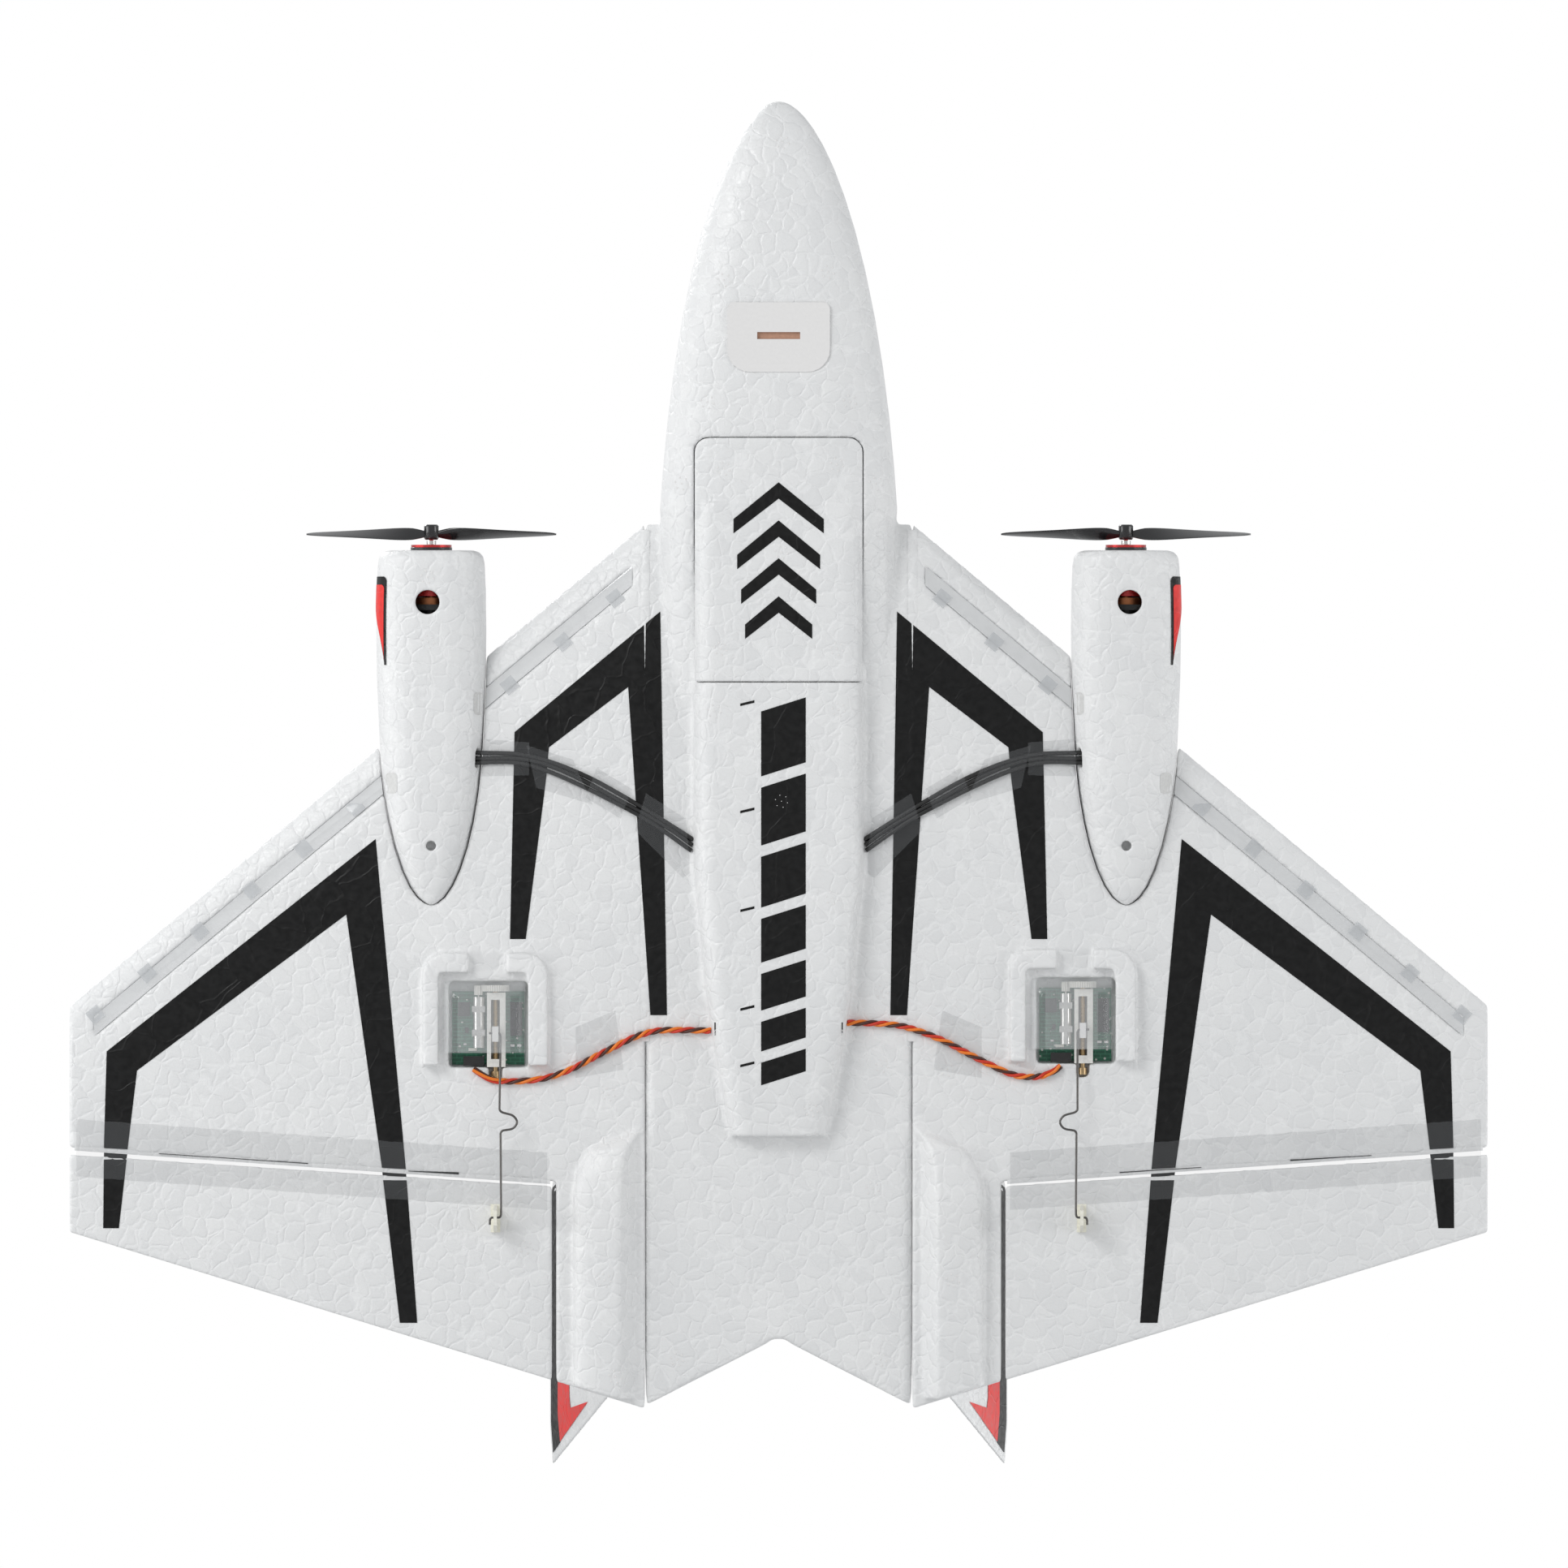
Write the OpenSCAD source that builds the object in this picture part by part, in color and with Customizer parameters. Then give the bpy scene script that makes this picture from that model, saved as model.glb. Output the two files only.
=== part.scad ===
// Tail-standing twin-motor foam delta. Nose towards -Y, span along X, belly down.
// Every length is in millimetres.

/* [Airframe] */
// Wing span
span = 503.4; // [480:1:530]
// Nose tip to fin tips
length = 485.6; // [470:1:500]
// Half width of the fuselage where it is widest
body_w = 43.5; // [40:0.5:46]
// Thickness of the wing at its root
root_t = 22; // [18:0.5:26]
// Thickness of the wing at its tip
tip_t = 7; // [6:0.5:10]
// Height of the wing's middle plane
wing_z = 21; // [19:0.5:24]
// Highest point of the canopy
canopy_z = 48; // [42:1:56]
// Height of the fin tips
fin_z = 94; // [80:1:110]

/* [Power] */
// Distance of each motor axis from the centre line
motor_x = 123.3; // [118:0.1:128]
// Propeller diameter
prop_d = 88.7; // [80:0.1:90]
// Propeller pitch
prop_pitch = 60; // [40:1:80]
// Radius of the motor bell
bell_r = 7.2; // [6:0.1:8]
// Radius of the motor shaft
shaft_r = 0.75; // [0.7:0.05:1]

/* [Control] */
// Hinge line distance from the centre, inner end
elevon_in = 80.5; // [78:0.5:90]
// Distance of the horn hole below the hinge line
horn_drop = 9.5; // [8:0.1:11]
// Number of gear teeth on the lead screw
gear_teeth = 36; // [30:1:40]
// Number of pinion teeth
pinion_teeth = 10; // [10:1:12]
// Distance between pinion and screw axes
gear_gap = 6; // [5:0.1:7]

/* [Hidden] */
$fn = 48;
half_span = span / 2;
nose_y = -length / 2;
fin_y = length / 2;
root_x = 47.5;
joint_gap = 0.1;
// Leading edge: straight from the root to the tip
le_root = -93;
le_tip = 78;
// Trailing edge: straight from the tail corner to the tip
te_root = 221.5;
te_tip = 158.8;
notch_y = 196.7;
edge_half = 0.8;
// Hinge line of the elevon
hinge_in = 140.7;
hinge_out = 128.7;
hinge_gap = 0.6;
elevon_side_gap = 1.5;
foam = [0.95, 0.95, 0.94];
pearl = [0.9, 0.91, 0.91];
dark = [0.1, 0.1, 0.11];
clear = [0.85, 0.9, 0.95, 0.4];

function clamp(v, lo, hi) = min(max(v, lo), hi);
function le(x) = le_root + (x - root_x) * (le_tip - le_root) / (half_span - root_x);
function te(x) = te_root + (x - root_x) * (te_tip - te_root) / (half_span - root_x);
function hinge_y(x) = hinge_in + (x - elevon_in) * (hinge_out - hinge_in) / (half_span - elevon_in);
function thick(x) = root_t + (x - root_x) * (tip_t - root_t) / (half_span - root_x);
// Half thickness of the section at span station x and chord share c
function foil(c) = 5 * (0.2969 * sqrt(c) - 0.126 * c - 0.3516 * c * c + 0.2843 * pow(c, 3)
    - 0.1015 * pow(c, 4));
function half_t(x, c) = thick(x) * foil(c) + edge_half * c;
function share(x, y) = clamp((y - le(x)) / (te(x) - le(x)), 0, 1);
function skin(x, y) = half_t(x, share(x, y));
function hinge_z(x) = wing_z - skin(x, hinge_y(x));

function total(v, i = 0) = i < len(v) - 1 ? v[i] + total(v, i + 1) : v[i];
// Negative where the rings turn clockwise as seen along their order
function turn_of(rings) = let (r = rings[floor(len(rings) / 2)], n = len(r),
    area = total([for (i = [1:n - 2]) cross(r[i] - r[0], r[i + 1] - r[0])]),
    ahead = total([for (p = rings[len(rings) - 1]) p]) - total([for (p = rings[0]) p])) area * ahead;
// A closed solid through rings of equal point counts
module loft(rings_in) {
    good = turn_of(rings_in) < 0;
    rings = [for (r = rings_in) good ? r : [for (i = [len(r) - 1:-1:0]) r[i]]];
    n = len(rings[0]);
    m = len(rings);
    points = [for (r = rings) for (p = r) p];
    sides = [for (i = [0:m - 2]) for (j = [0:n - 1]) for (k = [0, 1]) let (
        a = i * n + j, b = i * n + (j + 1) % n, c = (i + 1) * n + (j + 1) % n, d = (i + 1) * n + j)
        k == 0 ? [a, b, c] : [a, c, d]];
    first = [for (j = [n - 1:-1:0]) j];
    last = [for (j = [0:n - 1]) (m - 1) * n + j];
    polyhedron(points, concat(sides, [first], [last]), convexity = 8);
}

module side(s) {
    if (s < 0) mirror([1, 0, 0]) children();
    else children();
}

// ---------- wings ----------
foil_steps = 15;
// Ring of the wing section at one span station, nose first, over the top
function foil_ring(x) = concat(
    [for (i = [foil_steps:-1:1]) let (c = pow(i / foil_steps, 1.6))
        [x, le(x) + c * (te(x) - le(x)), wing_z - half_t(x, c)]],
    [[x, le(x), wing_z]],
    [for (i = [1:foil_steps]) let (c = pow(i / foil_steps, 1.6))
        [x, le(x) + c * (te(x) - le(x)), wing_z + half_t(x, c)]]);
stations = [root_x, 90, 130, 170, 210, 244, half_span];

module wing_blank() loft([for (x = stations) foil_ring(x)]);

// Plan of the elevon, with its front edge moved aft by gap
module elevon_plan(gap) {
    polygon([[elevon_in, hinge_in + gap], [half_span + 1, hinge_y(half_span + 1) + gap],
        [half_span + 1, 250], [elevon_in, 250]]);
}

module wing_plan() {
    difference() {
        translate([root_x, le_root - 5]) square([half_span - root_x, 330]);
        polygon([[elevon_in - elevon_side_gap, hinge_in], [half_span + 2, hinge_y(half_span + 2)],
            [half_span + 2, 260], [elevon_in - elevon_side_gap, 260]]);
    }
}

// Servo places: x of the lead screw axis on each side, y of the gear's front face
screw_left = -100.5;
screw_right = 107.9;
gear_left = 71.1;
gear_right = 69.8;
servo_z = wing_z - skin(100, 86);
pocket_z = servo_z + 8.8;
screw_z = servo_z + 3.2;
pocket = [[-16.5, -1.3], [11.6, -1.3], [11.6, 29], [-16.5, 29]];

module at_servo(s) {
    translate([s < 0 ? screw_left : screw_right, s < 0 ? gear_left : gear_right, 0]) children();
}

// Raised U round the servo, open at the front middle and at the back
module fairing_plan() {
    difference() {
        hull() {
            translate([-17.8, -3.4]) circle(8, $fn = 24);
            translate([10.6, -3.4]) circle(8, $fn = 24);
            translate([-25.8, 28]) square([44.4, 0.4]);
        }
        translate([-20.3, -4.6]) square([31.4, 40]);
        translate([-9.3, -14]) square([13.1, 20]);
    }
}
fairing_drop = 4.4;

pod_in = 47.6;
pod_out = 72.5;
pod_front = 121.5;
pod_back = 218;
pod_steps = 12;
// Pod section: sharp on the inner side, round on the outer side
function pod_ring(t) = let (
    y = pod_front + t * (pod_back - pod_front),
    w = (pod_out - pod_in) * pow(1 - pow(1 - min(t * 4, 1), 2), 0.5) + 0.4,
    d = 9 * pow(1 - pow(1 - min(t * 3, 1), 2), 0.5) * (1 - 0.25 * t) + 0.2,
    z = wing_z - skin(60, min(y, te(60))) + 1)
    concat([[pod_in, y, z + 3]], [for (a = [0:15:90]) [pod_in + (w * 0.35)
        + w * 0.65 * sin(a), y, z - 1 - d * pow(cos(a), 0.6)]],
        [[pod_in + w, y, z + 3]]);

module pod() {
    rings = [for (i = [0:pod_steps]) pod_ring(i / pod_steps)];
    intersection() {
        loft([for (r = rings) [for (i = [len(r) - 1:-1:0]) r[i]]]);
        linear_extrude(60) polygon([[40, 100], [90, 100], [90, te(90) - 0.5], [40, te(40) - 0.5]]);
    }
}

strip_w = 5.5;
strip_back = 15;
strip_deep = 2.2;
strip_in = 52;
strip_out = 243;
// Band parallel to the leading edge
module strip_plan(w) {
    run = (le_tip - le_root) / (half_span - root_x);
    h = w / 2 * sqrt(1 + run * run);
    polygon([[strip_in, le(strip_in) + strip_back - h], [strip_out, le(strip_out) + strip_back - h],
        [strip_out, le(strip_out) + strip_back + h], [strip_in, le(strip_in) + strip_back + h]]);
}

// The channel of the edge strip, as deep as the strip
module edge_band(w) {
    difference() {
        linear_extrude(wing_z) strip_plan(w);
        translate([0, 0, strip_deep]) wing_blank();
    }
}

// Foam wing with its pod and servo fairing, cut for servo, nacelle and strip
module shell_wing(s) {
    difference() {
        union() {
            side(s) intersection() {
                wing_blank();
                translate([0, 0, -5]) linear_extrude(80) wing_plan();
            }
            side(s) pod();
            at_servo(s) translate([0, 0, servo_z - fairing_drop])
                linear_extrude(fairing_drop + 4) fairing_plan();
        }
        at_servo(s) translate([0, 0, servo_z - 9]) linear_extrude(pocket_z - servo_z + 9) polygon(pocket);
        // Flat seat for the cover, and a groove for the end of the lead screw
        at_servo(s) translate([-19, -2, servo_z - 9]) cube([30, 26.5, 9.06]);
        at_servo(s) translate([-2.3, 28, servo_z - 9]) cube([4.6, 6, screw_z - servo_z + 11]);
        side(s) translate([0, 0, -5]) linear_extrude(100) nacelle_plan(0.1);
        side(s) edge_band(strip_w);
    }
}

module left_wing() color(foam) shell_wing(-1);
module right_wing() color(foam) shell_wing(1);

// Elevon: hinged at its lower front edge, with its front face leaning aft for the upward throw
module shell_elevon(s) {
    lean = 9;
    side(s) intersection() {
        wing_blank();
        difference() {
            translate([0, 0, -5]) linear_extrude(80) elevon_plan(hinge_gap);
            translate([elevon_in - 3, 0, 0]) multmatrix([[1, 0, 0, 0],
                [(hinge_out - hinge_in) / (half_span - elevon_in), 1, 0, 0], [0, 0, 1, 0]])
                rotate([90, 0, 90]) linear_extrude(190)
                polygon([[hinge_in - 20, 0], [hinge_in + hinge_gap + 0.2, 0],
                [hinge_in + hinge_gap + 0.2, 12], [hinge_in + lean, 40], [hinge_in - 20, 40]]);
        }
    }
}
module left_elevon() color(foam) shell_elevon(-1);
module right_elevon() color(foam) shell_elevon(1);

// ---------- fins ----------
fin_root_x = 60;
fin_tip_x = 80.6;
fin_foot = wing_z + 3;
fin_half = 2.6;
// Where the fin's back edge meets the wing
fin_foot_y = 216.5;
function fin_ring(t) = let (
    x = fin_root_x + t * (fin_tip_x - fin_root_x), z = fin_foot + t * (fin_z - fin_foot),
    y0 = 100 + t * 40, y1 = fin_foot_y + t * (fin_y - fin_foot_y), h = fin_half * (1 - 0.45 * t))
    [[x, y0, z], [x + h, y0 + 9, z], [x + h, y1 - 14, z], [x + 0.5, y1, z],
        [x - 0.5, y1, z], [x - h, y1 - 14, z], [x - h, y0 + 9, z]];
// Fin that leans outwards
module shell_fin(s) {
    side(s) difference() {
        loft([for (t = [0, 0.25, 0.5, 0.75, 0.96, 1]) fin_ring(t)]);
        wing_blank();
    }
}
module left_fin() color(foam) shell_fin(-1);
module right_fin() color(foam) shell_fin(1);

// ---------- nacelles ----------
nac_front = -83.2;
nac_back = 42.6;
nac_high = 16.5;
bay_r = 9.4;
bay_back = -52;
function nac_w(y) = y < -20 ? (y < -55 ? 19.6 - 0.85 * pow((y + 55) / 28, 2) : 19.6 - pow((y + 55) / 35, 2))
    : 18.6 * sqrt(max(1 - pow((y + 20) / (nac_back + 20), 1.7), 0));
nac_tail_high = 8.6;
function nac_h(y) = y < -20 ? nac_high
    : nac_tail_high + (nac_high - nac_tail_high) * sqrt(max(1 - pow((y + 20) / (nac_back + 20), 2), 0));
nac_rows = [nac_front, nac_front + 0.6, -81, -78, -70, -55, -38, -20, -8, 3, 13, 22, 30, 36, 40, 42, 42.6];
function nac_round(y) = y > -79.4 ? 1 : 1 - (3.8 - sqrt(max(14.44 - pow(-79.4 - y, 2), 0))) / 19;
nac_steps = 32;
function super(a, w, h, e) = [w * sign(cos(a)) * pow(abs(cos(a)), e), h * sign(sin(a)) * pow(abs(sin(a)), e)];
function nac_ring(y, grow) = [for (i = [0:nac_steps - 1]) let (
    p = super(-i * 360 / nac_steps, max(nac_w(y) * nac_round(y), 0.6) + grow,
        nac_h(y) * nac_round(y) + grow, 0.72))
    [motor_x + p[0], y, wing_z + p[1]]];

module nacelle_plan(grow) {
    pts = [for (y = nac_rows) max(nac_w(y), 0.6) + grow];
    polygon(concat([for (i = [0:len(pts) - 1]) [motor_x + pts[i], nac_rows[i]]],
        [for (i = [len(pts) - 1:-1:0]) [motor_x - pts[i], nac_rows[i]]]));
}

// Foam shell round the motor, split level with the wing
module nacelle_half(s, up) {
    side(s) difference() {
        intersection() {
            loft([for (y = nac_rows) nac_ring(y, 0)]);
            translate([0, -150, up ? wing_z + 0.05 : -20]) cube([250, 300, up ? 60 : wing_z + 19.95]);
        }
        translate([motor_x, bay_back, wing_z]) rotate([90, 0, 0]) cylinder(r = bay_r, h = 60);
        if (!up) {
            translate([motor_x + 1.2, -64.8, -5]) cylinder(r = 4.3, h = 22);
            translate([motor_x, 21.6, 0]) cylinder(r = 1.8, h = 12.5);
            // Where the motor cables come out
            translate([motor_x - 20, -12.8, wing_z - 10.2]) cube([7.4, 6.6, 3]);
        }
    }
}
module left_nacelle_lower() color(foam) nacelle_half(-1, false);
module right_nacelle_lower() color(foam) nacelle_half(1, false);
module left_nacelle_upper() color(foam) nacelle_half(-1, true);
module right_nacelle_upper() color(foam) nacelle_half(1, true);

// ---------- centre body ----------
belly_half = 30;
belly_end = 124.7;
function body_half(y) = let (u = 1 - clamp((y - nose_y) / 190, 0, 1)) body_w * pow(1 - u * u, 0.55);
function body_low(y) = let (u = 1 - clamp((y - nose_y) / 75, 0, 1)) 19 * (1 - pow(1 - u * u, 0.55));
function body_top(y) = let (u = 1 - clamp((y - nose_y) / 170, 0, 1)) wing_z - 2 + (canopy_z - wing_z + 2)
    * pow(max(1 - u * u, 0), 0.6);
// The front fuselage narrows to the belly behind the wing's leading edge
body_rows = [nose_y + 0.05, nose_y + 1, nose_y + 3, nose_y + 6, nose_y + 10, nose_y + 16,
    nose_y + 24, nose_y + 34, nose_y + 46, nose_y + 60, -166, -148, -130, -112, -97];
body_steps = 40;
function body_ring(y) = [for (i = [0:body_steps - 1]) let (
    a = i * 360 / body_steps, low = sin(a) < 0, zc = wing_z - 2,
    p = super(-a, body_half(y), low ? body_top(y) - zc : zc - body_low(y), low ? 0.95 : 0.62))
    [p[0], y, zc + p[1]]];

function belly_w(y) = y < 29 ? belly_half : y < 71 ? belly_half - 4.1 * (y - 29) / 42
    : 25.9 - 7.6 * pow((y - 71) / 46, 1.15);
function belly_low(y) = y < 60 ? 0 : 6.2 * pow((y - 60) / (belly_end - 60), 2);
belly_rows = [-100, -97, -60, -20, 29, 50, 71, 85, 98, 110, 118, belly_end];
// Belly section with round lower edges
function belly_ring(y) = let (w = belly_w(y), r = 7, z = belly_low(y))
    concat([[-w, y, 18]], [for (a = [0:15:90]) [-w + r - r * cos(a), y, z + r - r * sin(a)]],
        [for (a = [90:-15:0]) [w - r + r * cos(a), y, z + r - r * sin(a)]], [[w, y, 18]]);

module body_front() loft([for (y = body_rows) body_ring(y)]);
module belly() loft([for (y = belly_rows) belly_ring(y)]);
shoulder_rows = [-97, -80, -60, -36, -20, 0];
// The front fuselage's sides fade into the wing root
function shoulder_ring(y) = let (t = (y + 97) / 97, w = 42 - 1.5 * t, h = wing_z - 2 - 11 * t)
    [for (i = [0:23]) let (a = -i * 15, p = super(a, w, sin(a) < 0 ? h : 14, 0.62))
        [p[0], y, wing_z - 2 + p[1]]];
module shoulder() loft([for (y = shoulder_rows) shoulder_ring(y)]);
module centre_slab() {
    w = root_x - joint_gap;
    intersection() {
        loft([for (x = [-w, w]) [for (p = foil_ring(root_x)) [x, p[1], p[2]]]]);
        linear_extrude(60) polygon([[-w, le_root - 1], [w, le_root - 1], [w, te_root - 1],
            [5, notch_y + 2], [2, notch_y], [-2, notch_y], [-5, notch_y + 2], [-w, te_root - 1]]);
    }
}

// Shallow groove along the rear of each wing root
module root_groove(s) {
    difference() {
        translate([s * (root_x - 1) - 1, 91, 0]) cube([2, 140, wing_z]);
        translate([0, 0, 1.2]) centre_slab();
    }
}

hatch_w = 59.5;
hatch_front = -123;
hatch_back = -36.6;
hatch_thick = 7;
bay_w = 44;
bay_front = -118;
bay_len = 76;
bay_top = 29;
board_bay = [[-20, -30, 6], [20, 26, 24]];
plate_w = 36.3;
plate_front = -171;
plate_back = -146.3;
plate_t = 1.2;

module hatch_plan(grow) {
    w = hatch_w / 2 + grow;
    y0 = hatch_front - grow;
    y1 = hatch_back + grow;
    hull() {
        translate([-w + 5, y0 + 5]) circle(5, $fn = 24);
        translate([w - 5, y0 + 5]) circle(5, $fn = 24);
        translate([-w, y1 - 1]) square([2 * w, 1]);
    }
}
module plate_plan(grow) {
    w = plate_w / 2 + grow;
    hull() {
        for (s = [-1, 1]) {
            translate([s * (w - 2.5), plate_front - grow + 2.5]) circle(2.5, $fn = 24);
            translate([s * (w - 8), plate_back + grow - 8]) circle(8, $fn = 24);
        }
    }
}

canopy_cut = 42.2;
module body_solid() {
    difference() {
        union() {
            body_front();
            belly();
            shoulder();
            centre_slab();
        }
        translate([-canopy_cut, -300, wing_z + 9]) cube([2 * canopy_cut, 446, 60]);
    }
}

// Centre body with its hatch, battery and board bays
module centre_body() color(foam) difference() {
    body_solid();
    translate([0, 0, -1]) linear_extrude(hatch_thick + 1) hatch_plan(0.2);
    translate([0, 0, -1]) linear_extrude(plate_t + 1) plate_plan(0.1);
    translate([-9, -163, -1]) cube([18, 8, 9]);
    translate([-bay_w / 2, bay_front, hatch_thick - 1]) cube([bay_w, bay_len, bay_top - hatch_thick + 1]);
    translate(board_bay[0]) cube(board_bay[1] - board_bay[0]);
    for (s = [-1, 1]) root_groove(s);
}

// Lift-off hatch, the same outer shape as the belly
module battery_hatch() color(pearl) intersection() {
    union() {
        body_front();
        belly();
        shoulder();
    }
    translate([0, 0, -1]) linear_extrude(hatch_thick + 0.9) hatch_plan(0);
}

// Wear plate let flush into the foam
module nose_plate() color("white") difference() {
    linear_extrude(plate_t) plate_plan(0);
    translate([-7.6, -160.45, -1]) cube([15.2, 2.5, 4]);
}

canopy_rows = [nose_y + 34, nose_y + 46, nose_y + 60, -166, -148, -130, -112, -90, -60, -30, 0, 40,
    80, 115, 140];
function canopy_high(y) = y < -60 ? body_top(y) : wing_z + 8 + (canopy_z - wing_z - 8)
    * (0.5 + 0.5 * cos(180 * clamp((y + 60) / 205, 0, 1))) + 0.5;
function canopy_half(y) = y < -97 ? body_half(y) : 42 - 14 * pow((y + 97) / 237, 1.4);
canopy_steps = 14;
function canopy_ring(y) = [for (i = [0:canopy_steps]) let (a = i * 180 / canopy_steps,
    zc = wing_z - 2, p = super(a, canopy_half(y), canopy_high(y) - zc, 0.95))
    [p[0], y, zc + p[1]]];
module canopy() color(foam) intersection() {
    loft([for (y = canopy_rows) canopy_ring(y)]);
    translate([-100, -300, wing_z + 9.05]) cube([200, 600, 60]);
}

// Clear stiffener glued in the channel
module edge_strip(s) {
    side(s) difference() {
        intersection() {
            wing_blank();
            edge_band(strip_w - 0.2);
        }
        linear_extrude(80) nacelle_plan(0.3);
    }
}
module left_edge_strip() color(clear) edge_strip(-1);
module right_edge_strip() color(clear) edge_strip(1);

// ---------- inside the body ----------
// Two-cell pack with its lead block
module battery() color("royalblue") {
    translate([-15, -112, 12.5]) cube([30, 54, 13]);
    translate([-11, -58, 15]) cube([22, 4, 8]);
}
module battery_strap() color(dark) difference() {
    translate([-16.6, -92, 11]) cube([33.2, 14, 18]);
    translate([-15, -93, 12.5]) cube([30, 16, 13]);
    translate([-15, -93, 25.5]) cube([30, 16, 1.5]);
}
// Receiver and gyro board with its plugs and foam pad
module flight_board() color("seagreen") {
    translate([-16.5, -24, 20]) cube([33, 27, 1.6]);
    translate([-12, -22, 17]) cube([8, 6, 3]);
    translate([-3.5, -14, 18.8]) cube([7, 7, 1.2]);
    translate([4, -23, 16]) cube([10, 5, 4]);
    translate([-16.5, -24, 21.6]) cube([33, 27, 2.4]);
}
// One controller for each motor
module speed_controllers() color("darkgreen") {
    for (s = [-1, 1]) translate([s * 9.5 - 7, 6, 20]) cube([14, 18, 4]);
}

// ---------- motors ----------
module at_motor(s, y) {
    side(s) translate([motor_x, y, wing_z]) rotate([-90, 0, 0]) children();
}
bell_front = -85.2;
bell_back = -67;
mount_y = -64;
prop_y = -89.1;
// Outer rotor: cup with its shaft
module motor_bell(s) {
    color("firebrick") at_motor(s, bell_front) {
        difference() {
            cylinder(r = bell_r, h = bell_back - bell_front);
            translate([0, 0, 1.6]) cylinder(r = bell_r - 0.8, h = 30);
        }
        translate([0, 0, -6]) cylinder(r = shaft_r, h = 6);
        translate([0, 0, 1.6]) cylinder(r = shaft_r, h = 18);
    }
}
module left_motor_bell() motor_bell(-1);
module right_motor_bell() motor_bell(1);

// Bearing tube, nine poles and the base
module stator(s) {
    color([0.25, 0.2, 0.18]) at_motor(s, 0) difference() {
        union() {
            translate([0, 0, bell_front + 1.8]) cylinder(r = 2.2, h = mount_y - bell_front - 1.8);
            for (a = [0:40:320]) rotate(a) translate([0.8, -0.9, -82.6]) cube([5, 1.8, 12]);
            translate([0, 0, -66.4]) cylinder(r = 6.6, h = 2.4);
        }
        translate([0, 0, -90]) cylinder(r = shaft_r + 0.05, h = 40);
    }
}
module left_stator() stator(-1);
module right_stator() stator(1);

// Disc that carries the motor in its bay
module motor_mount(s) {
    color(dark) at_motor(s, mount_y) difference() {
        union() {
            cylinder(r = 9.3, h = 2);
            cylinder(r = 5, h = 7);
        }
        translate([0, 0, -1]) cylinder(r = 1.2, h = 10);
    }
}
module left_motor_mount() motor_mount(-1);
module right_motor_mount() motor_mount(1);

// Ring that clamps the shaft behind the hub
module collar(s) {
    color("silver") at_motor(s, bell_front - 1.5) difference() {
        cylinder(r = 1.7, h = 1.4);
        translate([0, 0, -1]) cylinder(r = shaft_r, h = 4);
    }
}
module left_collar() collar(-1);
module right_collar() collar(1);

blade_rows = [2, 4, 7, 11, 16, 22, 29, 36, 41, 43.2, prop_d / 2 - 0.3, prop_d / 2];
// Width of the blade: narrow at the hub, widest at a third of the span, round at the tip
function chord(r) = let (t = clamp((r - 2) / (prop_d / 2 - 2), 0, 1))
    max((2.4 + 7.4 * (1 - exp(-4 * t))) * (1 - 0.45 * t * t) * sqrt(max(1 - pow(t, 16), 0)), 1);
function pitch(r) = atan(prop_pitch / (2 * 3.14159 * max(r, 6.5)));
// Blade section as a thin lens, leading edge towards +Y of the ring
function blade_ring(r) = let (c = max(chord(r), 0.5), b = pitch(r), h = max(1.1 - 0.7 * r / 44, 0.35))
    [for (q = [[-0.5, 0], [-0.3, 0.42], [0, 0.55], [0.3, 0.4], [0.5, 0], [0.25, -0.12], [-0.25, -0.12]])
        let (u = q[0] * c, v = q[1] * 2 * h) [r, u * cos(b) - v * sin(b), u * sin(b) + v * cos(b)]];
// Two-bladed push-on propeller
module propeller(s) {
    color(dark) at_motor(s, prop_y) difference() {
        union() {
            translate([0, 0, -3.3]) cylinder(r = 2.6, h = 5.4);
            for (a = [0, 180]) rotate(a) loft([for (r = blade_rows) blade_ring(r)]);
        }
        translate([0, 0, -8]) cylinder(r = shaft_r, h = 12);
    }
}
module left_propeller() propeller(-1);
module right_propeller() propeller(1);

// ---------- leads ----------
function unit(v) = v / max(norm(v), 0.000001);
// A tube along points, kept level by the up direction
module tube(pts, r, sides) {
    m = len(pts);
    rings = [for (i = [0:m - 1]) let (
        t = unit(pts[min(i + 1, m - 1)] - pts[max(i - 1, 0)]), n = unit(cross(t, [0, 0, 1])), b = cross(n, t))
        [for (j = [0:sides - 1]) let (a = j * 360 / sides) pts[i] + r * (cos(a) * n + sin(a) * b)]];
    loft([for (q = rings) [for (i = [sides - 1:-1:0]) q[i]]]);
}
// Point on a smooth curve through the route
function route_at(p, t) = let (m = len(p) - 1, i = min(floor(t), m - 1), f = t - i,
    a = p[max(i - 1, 0)], b = p[i], c = p[i + 1], d = p[min(i + 2, m)])
    0.5 * (2 * b + (c - a) * f + (2 * a - 5 * b + 4 * c - d) * f * f + (3 * b - a - 3 * c + d) * f * f * f);
function under(x, y, d) = [x, y, wing_z - skin(max(abs(x), root_x), y) - d];
cable_r = 0.8;
cable_route = [[109.4, -9.6], [105, -9.5], [92, -9.3], [80.5, -6.3], [68.3, -1], [57, 5], [46.6, 10.8],
    [37.5, 16.6], [30.6, 21.4]];
cable_steps = 3;
// Three leads side by side under tape, from the nacelle into the body
module motor_cables(s) {
    color(dark) side(s) for (k = [-1, 0, 1]) {
        p = [for (q = cable_route) let (d = under(q[0], q[1], cable_r + 0.15))
            [q[0] + 0.35 * k, q[1] + 1.75 * k, d[2]]];
        tube([for (i = [0:(len(p) - 1) * cable_steps]) route_at(p, i / cable_steps)], cable_r, 8);
    }
}
module left_motor_cables() motor_cables(-1);
module right_motor_cables() motor_cables(1);

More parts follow.
